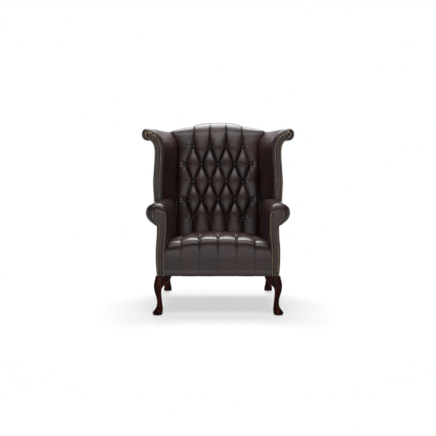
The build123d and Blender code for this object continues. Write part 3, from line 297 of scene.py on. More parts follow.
def leg_rings(stations, squareness, rows):
    """A leg: superellipse rings round a traced axis. Stations are x, depth, z, half width and
    half depth; squareness is the superellipse power down the leg."""
    line = trace(stations, np.linspace(0, len(stations) - 1, rows))
    x, depth, z, half_width, half_depth = line.T[..., None]
    power = 2 / np.interp(np.linspace(0, 1, rows), *squareness)[:, None]
    turn = full_turn(48)
    return at_depth(x + half_width * squared(np.cos(turn), power),
                    depth + half_depth * squared(np.sin(turn), power), z)


# In millimetres from the underside of the foot to the rail: distance of the axis from the
# middle of the chair, height and half width. The axis moves outwards and forwards alike, so
# its distance and its depth add up to the same.
axis_sum = 345
cabriole = [
    (340, 2.5, 19), (340, 4.5, 25.5), (340.3, 10, 28.4), (339.6, 17, 28.2), (336.5, 25, 26),
    (332.5, 34, 22.4), (329.8, 45, 18.6), (329, 61, 15.7), (329.8, 80, 14.7), (333.5, 108, 15.9),
    (336.8, 132, 19), (337, 150, 22.4), (335.2, 168, 25.4), (331.5, 186, 27.2), (327, 204, 27.4),
    (324, 221, 26.5),
]
cabriole_stations = np.array([(x, axis_sum - x, z, half, half) for x, z, half in cabriole]) / 1000
cabriole_power = ((0, 0.45, 0.62, 0.8, 1), (2, 2, 2.2, 2.7, 3.2))
cabriole_rings = leg_rings(cabriole_stations, cabriole_power, 90)
rail_underside = 0.2203
ear_tip = 0.016
ear_root = 0.062
ear_squareness = 0.7


def ear_shape():
    """Superellipse rings along an ear: its reach from 0 at the leg to 1 at the tip, the place
    across it from -1 to 1, and the height. It hangs from the rail's underside by a drop that
    falls as a power of the reach and rounds off at the tip."""
    reach = np.linspace(0, 1, 40)[:, None]
    turn = full_turn(36)
    drop = (ear_tip + ear_root * (1 - reach) ** 1.2) * np.sqrt(np.clip((1.02 - reach) / 0.12, 0, 1))
    z = rail_underside - drop / 2 + squared(np.sin(turn), ear_squareness) * drop / 2
    return reach, squared(np.cos(turn), ear_squareness), z


# Each ear: its length and half its thickness, and where it starts from the leg's own axis.
leg_axis = 0.323
front_ear = {"length": 0.061, "half": 0.013, "depth": 0.017}
side_ear = {"length": 0.058, "half": 0.012, "depth": 0.022}
reach, across, z = ear_shape()
front_ear_rings = at_depth(leg_axis - front_ear["length"] * reach,
                           front_ear["depth"] + front_ear["half"] * across, z)
side_ear_rings = at_depth(leg_axis - side_ear["half"] * across,
                          side_ear["depth"] + side_ear["length"] * reach, z)
for side, word in sides:
    leg = skin(f"cabriole_leg_{word}", cabriole_rings, mahogany, side, closed=True, caps=True)
    settle(leg, "show_wood", f"front_leg_{word}")
    ear = skin(f"front_ear_{word}", front_ear_rings, mahogany, side, closed=True, caps=True, flip=True)
    settle(ear, "show_wood", f"front_leg_front_ear_{word}")
    ear = skin(f"side_ear_{word}", side_ear_rings, mahogany, side, closed=True, caps=True)
    settle(ear, "show_wood", f"front_leg_side_ear_{word}")


# Rear legs: plain square mahogany legs swept backwards, carrying the back posts.
# Their arrises are eased and they have no foot, only a slight swell at the floor. In
# millimetres from the floor to the rail: depth, height and half width.
rear_leg_x = 329
sweep = [
    (640, 2.5, 21), (640, 6, 25), (640, 18, 25.5), (636, 34, 22.5), (622, 62, 19.5), (596, 105, 18.6),
    (574, 145, 19.6), (556, 185, 21), (546, 221, 22),
]
sweep_stations = np.array([(rear_leg_x, depth, z, half, 0.92 * half) for depth, z, half in sweep]) / 1000
sweep_rings = leg_rings(sweep_stations, ((0, 1), (4.5, 5.5)), 60)
for side, word in sides:
    leg = skin(f"swept_leg_{word}", sweep_rings, mahogany, side, closed=True, caps=True)
    settle(leg, "show_wood", f"rear_leg_{word}")


# Seat: one hide over foam and springs, deep-buttoned in diamonds. Its pleats are tucked
# by hand, and those from the first row run straight down the front border.
def hide(name):
    """Upholstery leather: burgundy-brown clouds with painted shade in the folds, a fine pebble
    grain and stretch creases as bump, and a satin coat."""
    finish = Finish(name, Coat_Weight=0.08, Coat_Roughness=0.2, Specular_IOR_Level=0.32)
    where = finish.place()
    clouds = finish.noise(where, 7.0, 4.0, 0.6)
    fold_shade = finish.add("ShaderNodeAttribute", output="Fac", attribute_name="fold_shade")
    # Painted shade: the fold_shade attribute darkens the hide's colour where shade falls in pleats, pits,
    # tucks and beside nails.
    tone_and_shade = clouds * 0.85 + finish.noise(where, 60.0, 3.0) * 0.15 - fold_shade * 0.55
    pebbles = finish.add("ShaderNodeTexVoronoi", {"Vector": where, "Scale": 620.0, "Randomness": 1.0})
    creases = finish.noise(finish.place((1, 1, 0.5)), 95.0, 5.0, 0.65)
    finish.feed(
        Base_Color=finish.ramp(tone_and_shade, (0.1, (0.002, 0.001, 0.001)), (0.4, (0.017, 0.0055, 0.0055)),
                               (0.68, (0.03, 0.0095, 0.009))),
        Roughness=clouds * 0.2 + 0.24 + fold_shade * 0.1,
        Normal=finish.bump(pebbles * -0.5 + creases * 0.9, 0.0006, 0.5),
    )
    return finish.material


leather = hide("burgundy_hide")
seat_depth = 0.53
seat_height = 0.43
border_half = 0.305
arm_gap_front = 0.286
arm_gap_loss = 0.031
button_pitch = 0.105
pillow_half = 0.048
pleat_turn = 0.007
pleat_shade = 0.002
pit_width = 0.014
pucker_ring = 0.02
seat_first_row = 0.12
seat_row_step = 0.102
seat_pit = 0.004
seat_pucker = 0.0006
seat_drift = 0.0012


def part_way(value, start, stop):
    """How far a value has come from start to stop, kept between 0 and 1."""
    return np.clip((value - start) / (stop - start), 0, 1)


def eased(share):
    """Smoothstep: 3 s**2 - 2 s**3, level at 0 and at 1."""
    return share**2 * (3 - 2 * share)


def bell(away, width):
    """Gaussian bell over a distance: exp(-(away / width)**2)."""
    return np.exp(-((away / width) ** 2))


def blend(start, stop, share):
    """Straight from start to stop: start + (stop - start) * share."""
    return start + (stop - start) * share


def smoothed(values, reach):
    """Moving average over as many places on either side."""
    window = 2 * reach + 1
    return np.convolve(np.pad(values, reach, mode="edge"), np.ones(window) / window, mode="valid")


def arc_length(points):
    """Length run from the first point to each point of a line."""
    return np.concatenate([[0], np.cumsum(np.linalg.norm(np.diff(points, axis=0), axis=1))])


def tufted(x, t, first, step, last, outer, rim):
    """Diamond tufting from straight pleats that cross at the buttons. Rows lie a step apart
    from the first, each half a pitch out of line with the one before, and outer gives the
    outermost button of the first two in half pitches. Past the rows the pleats run straight
    on, and beside them one strip of hide reaches the rim. Gives the height share, half of it
    a power of (1 - m**2)(1 - n**2) over the two pleat ways and half a parabola down the
    pillow with a tight turn at the pleats, and the distance to the nearest pleat."""
    p, q = x / (button_pitch / 2), (t - first) / step
    row = np.clip(q, 0, last)
    p_even = p + (outer[0] + 1) % 2
    m, n = p_even + row, p_even - row
    m, n = m - 2 * np.round(m / 2), n - 2 * np.round(n / 2)
    gap = (1 - np.maximum(np.abs(m), np.abs(n))) * pillow_half
    past = part_way(np.abs(q - row), 0, 0.6)
    turned = 1 - (1 - part_way(gap, 0, pleat_turn)) ** 2
    crown = 0.5 * ((1 - m**2) * (1 - n**2)) ** (0.6 - 0.25 * eased(past))
    crown += 0.5 * turned * (1 - ((m - n) / 2) ** 2)
    zigzag = outer[0] + (outer[1] - outer[0]) * (1 - np.abs(row % 2 - 1))
    strip = rim / (button_pitch / 2) - zigzag
    across = np.clip((np.abs(p) - zigzag) / strip, 0, 1)
    beside = 1.4 * part_way(strip, 0, 2) * np.sqrt(across * (1 - across))
    edge_gap = np.minimum(across, 1 - across) * strip * pillow_half
    outside = np.abs(p) > zigzag
    return np.where(outside, beside, crown), np.where(outside, edge_gap, gap)


def buttoning(x, t, buttons, phase):
    """What each button adds: a narrow pit and a ring of seven small radial puckers."""
    pit = np.zeros_like(x)
    pucker = np.zeros_like(x)
    for number, (button_x, button_t) in enumerate(buttons):
        away = np.hypot(x - button_x, t - button_t)
        turn = np.arctan2(t - button_t, x - button_x)
        pit += bell(away, pit_width)
        pucker += bell(away - pucker_ring, pit_width) * np.cos(7 * turn + phase + 2.1 * number)
    return pit, pucker


def crease_shade(gap, pit):
    """Painted shade at a point: exp(-gap / shade) from a pleat, or 0.9 of its pit."""
    return np.maximum(np.exp(-gap / pleat_shade), 0.9 * pit)


def button_rows(first, step, counts):
    """Button places row by row, each row centred."""
    return np.array([((number - (count - 1) / 2) * button_pitch, first + row * step)
                     for row, count in enumerate(counts) for number in range(count)])


def raised(grid, amount):
    """Moves each point of a grid along its own normal, the cross product of its two ways."""
    down, across = np.gradient(grid, axis=0), np.gradient(grid, axis=1)
    normal = np.cross(across, down)
    normal /= np.linalg.norm(normal, axis=-1, keepdims=True) + 1e-12
    return grid + normal * amount[..., None]


def drift(x, t, size, seed):
    """Slow unevenness of hand work: four crossed sine waves, about -1 to 1."""
    total = np.zeros_like(x)
    for step in range(4):
        turn = seed + 1.9 * step
        wave_length = size * (1 + 0.37 * step)
        total += np.sin((x * cos(turn) + t * sin(turn)) * 2 * pi / wave_length + 3 * seed + step)
    return total / 3


def seat_fall(x, depth):
    """Fall of the seat towards the arms: a parabola across, a little flatter in front."""
    return 0.02 * (x / 0.21) ** 2 * (0.55 + 0.45 * part_way(depth, 0, 0.3))


# In millimetres: depth and height from the foot of the border over the nose to the back.
border = np.array([
    (6, 222), (4, 226), (4, 260), (4, 300), (4.8, 340), (8, 366), (13, 386), (21, 405), (34, 419),
    (58, 427), (88, 429.5), (120, 430), (200, 424), (290, 417.5), (380, 411), (470, 404.5), (548, 399),
]) / 1000
seat_buttons = button_rows(seat_first_row, seat_row_step, (5, 4, 5, 4))


def seat_surface():
    """The seat's hide in rows from the foot of the border over the nose to the back: the
    traced profile, as wide as the gap between facings and arms, then tufted. Its t is the
    length along the profile and equals the depth at the first row of buttons."""
    profile = trace(border, np.linspace(0, len(border) - 1, 2400))
    run = arc_length(profile)
    rows = np.linspace(0, run[-1], 330)
    depth, height = [np.interp(rows, run, profile[:, axis]) for axis in (0, 1)]
    t = rows - np.interp(seat_first_row, profile[1200:, 0], run[1200:]) + seat_first_row
    arm_gap = arm_gap_front - arm_gap_loss * depth / seat_depth
    half = blend(border_half, arm_gap, eased(part_way(height, 0.372, 0.402)))[:, None]
    x = half * np.linspace(-1, 1, 250)
    crown, gap = tufted(x, t[:, None], seat_first_row, seat_row_step, 3, (4, 3), half + 0.004)
    pit, pucker = buttoning(x, t[:, None], seat_buttons, 0.4)
    full = smoothed(np.interp(t, (t[0], -0.04, 0.0, 0.04, 0.12, 0.2, 0.52),
                              (0.002, 0.003, 0.009, 0.014, 0.019, 0.021, 0.016)), 7)
    puff = full[:, None] * crown - seat_pit * pit + seat_pucker * pucker
    puff += seat_drift * drift(x, t[:, None], 0.16, 2.0) * crown
    puff[:, [0, -1]] = 0
    # Painted shade in the seat's pleats and button pits, fainter down the front border.
    fold_shade = crease_shade(gap, pit) * np.interp(t, (-0.2, 0.0, 0.07), (0.25, 0.4, 1))[:, None]
    fall = seat_fall(x, depth[:, None]) * eased(part_way(height, 0.33, 0.42))[:, None]
    return raised(at_depth(x, depth[:, None], height[:, None] - fall), puff), fold_shade


seat_grid, seat_fold_shade = seat_surface()
seat = skin("buttoned_seat", seat_grid, leather, fold_shade=seat_fold_shade)
settle(seat, "leather", "seat_cover", "seat_foam")


# Inside back: the same hide, deep-buttoned in five rows on the leaning back. From the top
# row the pleats run up over the camel crest, and from the bottom row down behind the seat.
lean = radians(12.5)
top_button_height = 0.938
back_row_drop = 0.1121
top_row = (top_button_height - seat_height) / cos(lean)
back_row_step = -back_row_drop / cos(lean)
back_buttons = button_rows(top_row, back_row_step, (4, 5, 4, 5, 4))
back_half = 0.299
back_foot = -0.04
crest_rise = 0.1
crest_roll = 0.055
crest_layer = -0.0795
back_pit = 0.005
back_pucker = 0.0008
side_pucker = 0.0014
back_drift = 0.0014


def on_back(x, rise, layer):
    """Places given by their rise up the leaning back and their layer in front of it."""
    depth = seat_depth + rise * sin(lean) - layer * cos(lean)
    return at_depth(x, depth, seat_height + rise * cos(lean) + layer * sin(lean))


def crest_height(x):
    """Height of the crest's bare line: flat in the middle, falling in an ogee to the wings."""
    places = (0, 40, 61, 85, 115, 159, 213, 253, 300)
    heights = (1094, 1094, 1093, 1089.5, 1083, 1068, 1056, 1046, 1034)
    return np.interp(np.abs(x), np.array(places) / 1000, np.array(heights) / 1000)


def back_surface():
    """The inside back's hide in rows from behind the seat up the back, over the crest in a
    quarter ellipse and back to the frame, then tufted over the length run from the bottom."""
    x = back_half * np.linspace(-1, 1, 250)
    size = smoothed(np.interp(np.abs(x), (0.08, 0.27), (1, 0.4)), 12)
    roll_up, roll_back = crest_rise * size, crest_roll * size
    top = (smoothed(crest_height(x), 8) - seat_height + 0.042 * sin(lean)) / cos(lean)
    low = np.linspace(back_foot, top_row, 225)[:, None] + 0 * x
    high = blend(top_row, top - roll_up, np.linspace(0, 1, 56)[1:, None])
    turn = np.linspace(0, pi / 2, 20)[1:, None]
    behind = np.linspace(0, 1, 16)[1:, None]
    rise = np.concatenate([low, high, top - roll_up + roll_up * np.sin(turn), top + 0 * behind])
    layer = np.concatenate([0 * low, 0 * high, roll_back * (np.cos(turn) - 1),
                            blend(-roll_back, crest_layer, behind)])
    x = np.broadcast_to(x, rise.shape)
    steps = np.hypot(np.diff(rise, axis=0), np.diff(layer, axis=0))
    t = back_foot + np.concatenate([0 * x[:1], np.cumsum(steps, axis=0)])
    rim = np.interp(t, (0, 0.5, 0.545, 0.59, 0.63), (0.257, 0.257, 0.262, 0.285, 0.304))
    crown, gap = tufted(x, t, top_row, back_row_step, 4, (3, 4), rim)
    pit, pucker = buttoning(x, t, back_buttons, 1.3)
    full = 0.001 + 0.029 * eased(part_way(t, t[-1], t[-1] - 0.26)) - 0.008 * part_way(t, 0.1, back_foot)
    near_side = part_way(np.abs(x), 0.16, 0.19)
    puff = full * crown - back_pit * pit + (back_pucker + side_pucker * near_side) * pucker
    puff += back_drift * drift(x, t, 0.15, 4.0) * crown
    puff[-1] = 0
    # The second value is painted shade in the back's pleats and button pits.
    return raised(on_back(x, rise, layer), puff), crease_shade(gap, pit)


back_grid, back_fold_shade = back_surface()
back = skin("buttoned_back", back_grid, leather, fold_shade=back_fold_shade)
settle(back, "leather", "inside_back_cover", "back_foam")


# Covered buttons: leather over a metal shell, pulled into the stuffing by twine.
# Each is a shallow dome whose rim sits in the bottom of its pocket.
button_size = {"radius": 0.0105, "height": 0.005, "rings": 6, "columns": 20, "tuck": -0.001}


def domes(name, places, outward, material, radius, height, rings, columns, tuck):
    """Many domes in one mesh: rings of a half ellipsoid on each place, sunk by the tuck, with
    their pole along the outward way, which has no part across the chair."""
    turn = full_turn(columns)
    bow = np.linspace(0, pi / 2, rings)[:, None]
    dome = np.stack(np.broadcast_arrays(np.cos(bow) * np.cos(turn) * radius,
                                        np.cos(bow) * np.sin(turn) * radius,
                                        np.sin(bow) * height - tuck), axis=-1)
    dome[-1] = (0, 0, height - tuck)
    aside = np.cross(outward, (1.0, 0.0, 0.0))
    ways = np.stack([aside, np.cross(outward, aside), outward])
    points = places[:, None, None] + dome @ ways
    starts = np.arange(len(places))[:, None] * rings * columns
    quads = (starts[..., None] + grid_quads(rings, columns, closed=True)).reshape(-1, 4)
    bases = starts + np.arange(columns)[::-1]
    # Painted shade on every dome: it darkens the covered buttons as if shaded in their pits; the brass
    # nails do not read it.
    fold_shade = np.full(points.size // 3, 0.8)
    return make_piece(name, points, quads.tolist() + bases.tolist(), material, fold_shade)


button_x, button_rise = back_buttons.T
buttons = domes("back_covered_buttons", on_back(button_x, button_rise, 0 * button_x),
                (0, -cos(lean), sin(lean)), leather, **button_size)
settle(buttons, "leather", "back_buttons")
button_x, button_depth = seat_buttons.T
seat_pitch = radians(4.2)
button_height = seat_height - (button_depth - seat_first_row) * sin(seat_pitch)
button_height -= seat_fall(button_x, button_depth)
buttons = domes("seat_covered_buttons", at_depth(button_x, button_depth, button_height),
                (0, sin(seat_pitch), cos(seat_pitch)), leather, **button_size)
settle(buttons, "leather", "seat_buttons")


# Rolled arms: one hide runs up the inside, over a padded roll and down to the neck. In
# front it is pulled round the edge in small pleats and tacked under the facing. The lines,
# x and height in millimetres, run alike: the outline, the nailing in front and the rear end.
arm_line = np.array([
    (288, 345), (286, 384), (281, 450), (278.5, 510), (279, 560), (282.5, 588), (294, 610),
    (312, 623.5), (334, 629.5), (357, 628.5), (378, 621), (394.5, 606.5), (402, 586), (402.5, 567),
    (397, 551), (386, 535), (370, 520.6), (354, 507.6), (338.6, 499),
]) / 1000
facing_line = np.array([
    (303, 345), (302, 384), (295, 437), (291, 505), (291.5, 548), (293.5, 570), (299, 583.5),
    (311, 589), (324, 592), (338, 594.5), (352, 592.5), (361.5, 586), (366.5, 574), (366, 562),
    (360, 546), (350, 534), (340, 525), (331, 516), (327.5, 507),
]) / 1000
rear_line = np.array([
    (245, 345), (246, 384), (252, 450), (259, 510), (264, 560), (266.5, 596), (276, 617), (292, 630),
    (312, 636.5), (333, 635), (351, 627), (363, 612), (368, 592), (367, 578), (361, 562), (352, 549),
    (343, 538), (339, 529), (338, 520),
]) / 1000
arm_edge = 0.033
arm_rear = 0.7
arm_swell = 0.004
arm_pleat = 0.0009
arm_drift = 0.0012
nailed_edge = 0.004
frame_rear = -0.077
arm_tucks = ((4.9, 0.1), (6.3, 0.13), (7.6, 0.1), (9.2, 0.12), (10.8, 0.13),
             (12.1, 0.12), (13.4, 0.1), (15.1, 0.12), (16.6, 0.1))


def back_depth(z, layer):
    """Depth of a layer of the leaning back at a height."""
    return seat_depth + (z - seat_height) * np.tan(lean) - layer / cos(lean)


def tucks(girth, depth, places, slant):
    """Small pleats where a hide is pulled round an edge: bells across the girth, each at its
    place and of its width, which lean to one side with the depth."""
    return sum(bell(girth - place - slant * (depth - 0.008), width) for place, width in places)


def arm_surface():
    """The arm's hide in rows from the nails round the front edge, a quarter ellipse, and then
    straight back from the outline to the rear line. Girth counts the outline's points."""
    girth = np.linspace(0, len(arm_line) - 1, 190)
    outline, nailing, rear = [trace(line, girth) for line in (arm_line, facing_line, rear_line)]
    bow = np.linspace(0.0, pi / 2, 26)[:, None, None]
    front = blend(outline, nailing, 1 - np.sin(bow) ** 0.95)
    front_depth = arm_edge * (1 - np.cos(bow)) + 0 * front[..., :1]
    front_depth[0] = nailed_edge
    along = np.linspace(0, 1, 90)[1:, None, None] ** 1.05
    long_depth = blend(arm_edge, back_depth(rear[:, 1:], frame_rear), along)
    long = blend(outline, rear, (long_depth - arm_edge) / (arm_rear - arm_edge))
    x, z = np.moveaxis(np.concatenate([front, long]), -1, 0)
    depth = np.concatenate([front_depth, long_depth])[..., 0]
    wave = tucks(girth, depth, arm_tucks, 0.6) * bell(depth - nailed_edge, 0.012)
    # Painted shade in the small tucks and along the nailed front edge.
    fold_shade = 0.35 * wave + 0.3 * bell(depth - nailed_edge, 0.006)
    swell = arm_swell * np.sin(pi * part_way(depth, 0, 0.6)) * bell(girth - 3, 2.2)
    lift = swell - arm_pleat * wave
    lift += arm_drift * drift(girth * 0.03 + 0 * depth, depth, 0.13, 6.0) * part_way(depth, 0, 0.05)
    lift[0] = 0
    return raised(at_depth(x, depth, z), lift), fold_shade


arm_grid, arm_fold_shade = arm_surface()
for side, word in sides:
    cover = skin(f"arm_roll_{word}", arm_grid, leather, side, fold_shade=arm_fold_shade)
    settle(cover, "leather", f"inside_arm_cover_{word}")


# Wings: padded on the inside and rolled outwards at the top in a scroll. The hide turns
# round the front edge under a narrow nailed facing, and its three lines run alike, both as
# on the arms.
wing_line = np.array([
    (329, 600), (327.5, 670), (326, 745), (322, 817), (319.5, 860), (318, 911), (319, 949), (323, 974),
    (331, 993), (343, 1009), (360, 1025.5), (379, 1038.5), (398, 1046.5), (417, 1049.5), (435.5, 1046),
    (448, 1034), (452, 1015), (449, 999), (439.5, 986), (428, 978.5), (417, 976.5), (402, 979),
]) / 1000
wing_nailing = np.array([
    (352, 600), (350, 670), (347, 745), (343.5, 817), (341, 860), (339.5, 900), (340.5, 935),
    (345, 958), (352, 976), (361, 991), (371.5, 1004), (385, 1016), (398, 1024), (411, 1029),
    (424, 1029), (430.5, 1021), (430.5, 1012), (427, 1006), (420, 1001), (413, 997), (406, 993),
    (399, 988),
]) / 1000
wing_rear = np.array([
    (241, 600), (241, 670), (241, 745), (241, 817), (241, 860), (241, 911), (243, 949), (249, 970),
    (258, 986), (268, 1000), (281, 1014), (295, 1025), (308, 1031.5), (321, 1034.5), (336, 1034),
    (350, 1026), (358.5, 1010), (359, 997), (354, 985.5), (345, 977), (334, 973.2), (320, 975),
]) / 1000
wing_tilt = radians(4)
wing_edge = 0.024
wing_swell = 0.01
wing_pleat = 0.00045
wing_drift = 0.0014
wing_front = 0.27
wing_foot = 0.63
wing_tucks = ((3.1, 0.16), (5.3, 0.16), (7.4, 0.15), (9.1, 0.15), (10.7, 0.14),
              (12.4, 0.15), (14.2, 0.14), (16.0, 0.14), (17.6, 0.13), (19.2, 0.14))


def wing_depth(z):
    """Depth of the wing's front plane at a height, leaning back by four degrees."""
    return wing_front + (z - wing_foot) * np.tan(wing_tilt)


def wing_surface():
    """The wing's hide, laid as the arm's is, but from a front plane that leans back. Swollen
    by a half sine on the inside."""
    girth = np.linspace(0, len(wing_line) - 1, 210)
    outline, nailing, rear = [trace(line, girth) for line in (wing_line, wing_nailing, wing_rear)]
    bow = np.linspace(0.0, pi / 2, 24)[:, None]
    front = blend(outline, nailing, 1 - np.sin(bow[..., None]) ** 0.85)
    front_depth = wing_depth(front[..., 1]) + wing_edge * (1 - np.cos(bow))
    front_depth[0] += nailed_edge
    along = np.linspace(0, 1, 80)[1:, None]
    long = blend(outline, rear, along[..., None])
    long_depth = blend(wing_depth(outline[:, 1]) + wing_edge, back_depth(rear[:, 1], frame_rear), along)
    x, z = np.moveaxis(np.concatenate([front, long]), -1, 0)
    depth = np.concatenate([front_depth, long_depth])
    in_wing = depth - wing_depth(z)
    wave = tucks(girth, in_wing, wing_tucks, 0.4) * bell(in_wing - nailed_edge, 0.011)
    # Painted shade in the small tucks and along the nailed front edge.
    fold_shade = 0.2 * wave + 0.3 * bell(in_wing - nailed_edge, 0.006)
    swell = wing_swell * part_way(girth, 7.5, 5.5) * np.sin(pi * part_way(in_wing, 0, 0.28)) ** 0.8
    lift = swell - wing_pleat * wave
    lift += wing_drift * drift(girth * 0.04 + 0 * depth, depth, 0.15, 8.0) * part_way(in_wing, 0, 0.04)
    lift[0] = 0
    return raised(at_depth(x, depth, z), lift), fold_shade


wing_grid, wing_fold_shade = wing_surface()
for side, word in sides:
    cover = skin(f"wing_scroll_{word}", wing_grid, leather, side, fold_shade=wing_fold_shade)
    settle(cover, "leather", f"inside_wing_cover_{word}")


# Outside arm panels: one thickness of hide over lining, blind-tacked along the top and
# nailed behind. They are nearly flat, with a soft edge at the front.
side_line = np.array([
    (340, 507), (340.5, 480), (342.5, 440), (346, 400), (348, 360), (348.3, 320), (347, 275),
    (344.5, 240), (342, 221),
]) / 1000
side_rear = np.array([
    (340, 527), (340, 490), (340.5, 440), (341.5, 400), (342, 360), (342, 320), (341, 275),
    (339.5, 240), (338, 221),
]) / 1000
arm_panel_turn = 0.007
panel_edge = 0.006
panel_gap = 0.0005
panel_bow = np.linspace(0, pi / 2, 10)[:, None]
panel_along = np.linspace(0, 1, 70)[1:, None]


def outside_arm_surface():
    """Rows round the front edge, a quarter ellipse, and straight back to the rear line."""
    girth = np.linspace(0, len(side_line) - 1, 60)
    outline, rear = trace(side_line, girth), trace(side_rear, girth)
    edge_x = outline[:, 0] - arm_panel_turn * (1 - np.sin(panel_bow))
    edge_depth = panel_edge * (1 - np.cos(panel_bow)) + panel_gap + 0 * edge_x
    x = np.concatenate([edge_x, blend(outline[:, 0], rear[:, 0], panel_along)])
    flat_depth = blend(panel_edge + panel_gap, back_depth(rear[:, 1], frame_rear), panel_along)
    depth = np.concatenate([edge_depth, flat_depth])
    z = blend(outline[:, 1], rear[:, 1], part_way(depth, 0, arm_rear))
    return raised(at_depth(x, depth, z), 0.0012 * drift(z, depth, 0.3, 3.0) * part_way(depth, 0, 0.05))


arm_panel_grid = outside_arm_surface()
for side, word in sides:
    panel = skin(f"outside_arm_{word}", arm_panel_grid, leather, side)
    settle(panel, "leather", f"outside_arm_cover_{word}")


# Outside wing panels: the same hide and lining, blind-tacked under the scroll and nailed
# behind, on the wing's leaning front plane.
outside_line = np.array([
    (408, 978), (402, 977.5), (396, 973), (388, 964), (381, 950), (377, 932), (375.5, 911), (376, 883),
    (378, 846), (381, 800), (385, 745), (384, 690), (381, 640), (379, 600),
]) / 1000
outside_rear = np.array([
    (326, 974), (322, 974), (318, 971), (314, 963), (311.5, 950), (310.5, 932), (310, 911), (311, 883),
    (313, 846), (316, 800), (321, 745), (327, 690), (333, 640), (337, 600),
]) / 1000


def outside_wing_surface():
    """Rows round the front edge, a quarter ellipse, and straight back to the rear line."""
    girth = np.linspace(0, len(outside_line) - 1, 80)
    outline, rear = trace(outside_line, girth), trace(outside_rear, girth)
    edge_x = outline[:, 0] - panel_edge * (1 - np.sin(panel_bow))
    edge_depth = wing_depth(outline[:, 1]) + panel_edge * (1 - np.cos(panel_bow)) + panel_gap
    flat = blend(outline, rear, panel_along[..., None])
    x = np.concatenate([edge_x, flat[..., 0]])
    z = np.concatenate([outline[:, 1] + 0 * edge_x, flat[..., 1]])
    flat_depth = blend(edge_depth[-1], back_depth(rear[:, 1], frame_rear), panel_along)
    return at_depth(x, np.concatenate([edge_depth, flat_depth]), z)


wing_panel_grid = outside_wing_surface()
for side, word in sides:
    panel = skin(f"outside_wing_{word}", wing_panel_grid, leather, side)
    settle(panel, "leather", f"outside_wing_cover_{word}")


# Outside back: a single leather panel over webbing and lining, closed all round with nails.
# Its outline follows the body, the arm rolls, the wing scrolls and the crest.
back_outline = np.array([
    (338, 220.5), (338, 300), (338, 420), (338, 515), (345, 545), (360, 566), (367, 590), (360, 617),
    (347, 630), (333, 640), (327, 690), (321, 745), (316, 800), (313, 846), (311, 883), (310, 911),
    (311.5, 950), (317, 968), (338, 974), (352, 984), (358, 1003), (353, 1022), (340, 1032),
    (322, 1035), (300, 1037), (253, 1048), (213, 1057), (159, 1069), (115, 1082), (85, 1089),
    (61, 1092.5), (30, 1093.5),
]) / 1000
panel_layer = -0.0785
rim_turn = 0.0025
rim_width = 0.006
head_width = 0.008
panel_fullness = 0.0035


def rounded(share):
    """A quarter circle: steep at 0 and level at 1."""
    return np.sqrt(1 - (1 - share) ** 2)


def outside_back_surface():
    """Rows across the outline, each as wide as it is there. The panel turns in at its rim and
    at the crest in a quarter circle, and is slightly full in the middle."""
    body = np.linspace(0, 3, 40)
    above = np.linspace(3, len(back_outline) - 1, 260)[1:]
    edge = trace(back_outline, np.concatenate([body, above]))
    half = edge[:, :1]
    share = np.linspace(-1, 1, 90)
    x = half * share
    z = np.maximum.accumulate(edge[:, 1:]) + 0 * x
    rim = part_way((1 - np.abs(share)) * half, 0, rim_width)
    head = part_way(crest_height(x) - z, 0, head_width)
    puff = rim_turn * rounded(np.minimum(rim, head)) - rim_turn
    puff += panel_fullness * (1 - share**2) * part_way(z, 1.09, 0.89)
    puff += 0.001 * drift(x, z, 0.35, 5.0) * rim
    return at_depth(x, back_depth(z, panel_layer - puff), z)


panel = skin("outside_back", outside_back_surface(), leather, flip=True)
settle(panel, "leather", "outside_back_cover")


# Facings: thin padded boards covered in hide and nailed over the raw edges of the covers,
# a teardrop with a long column on each arm and a narrow scroll on each wing.
facing_gap = 0.0025
facing_lip = 0.0031
facing_crown = 0.007
facing_seam = 0.0002


def facing(name, edge, middle, plane, side):
    """A crowned panel: rings of its outline drawn in towards a middle line. It turns up at
    its edge, runs level under the nails and swells as a quarter circle inside them."""
    shares = np.concatenate([[0], np.linspace(0.0, 1, 26) ** 1.2])
    rings = blend(edge, middle, shares[:, None, None])
    gap = np.linalg.norm(rings - edge, axis=-1)
    crown = facing_lip * rounded(part_way(gap, 0, 0.003))
    crown += facing_crown * rounded(part_way(gap, 0.0065, 0.016))
    crown[0] = -0.008
    x, z = np.moveaxis(rings, -1, 0)
    grid = at_depth(x, plane(z) + facing_gap - crown, z)
    # Painted shade along the facing's edge, under and beside its nails.
    fold_shade = 0.9 * bell(gap - 0.004, 0.005)
    return skin(name, grid, leather, side, closed=True, flip=True, fold_shade=fold_shade, seam=facing_seam)


teardrop = np.array([
    (302, 222), (302, 260), (302, 300), (302, 345), (300.5, 384), (295.5, 430), (290.5, 480),
    (289.5, 520), (289.5, 552), (292, 571), (298, 585), (310, 590.5), (324, 593.5), (338, 596),
    (353, 594), (363.5, 587), (368.5, 574), (367.5, 561), (362, 545), (352, 532), (341.5, 523),
    (332.5, 514), (329, 504), (330, 480), (334, 440), (338.5, 400), (341.5, 360), (342, 320),
    (341, 280), (339, 250), (337, 222),
]) / 1000
teardrop_spine = np.array([
    (320, 240), (320.5, 300), (321, 345), (319, 400), (313, 450), (310, 500), (311, 530), (322, 552),
    (330, 562),
]) / 1000
teardrop_edge = trace(teardrop, np.linspace(0, len(teardrop) - 1, 240))
# Both edges share places a step apart on the spine, so the two halves join there.
spine_step = 0.009
spine_z = np.clip(np.round(teardrop_edge[:, 1] / spine_step), 26, 62) * spine_step
spine_x = np.interp(spine_z, teardrop_spine[:, 1], teardrop_spine[:, 0])
teardrop_middle = np.stack([spine_x, spine_z], axis=-1)
for side, word in sides:
    panel = facing(f"arm_teardrop_{word}", teardrop_edge, teardrop_middle, np.zeros_like, side)
    settle(panel, "leather", f"arm_facing_{word}")

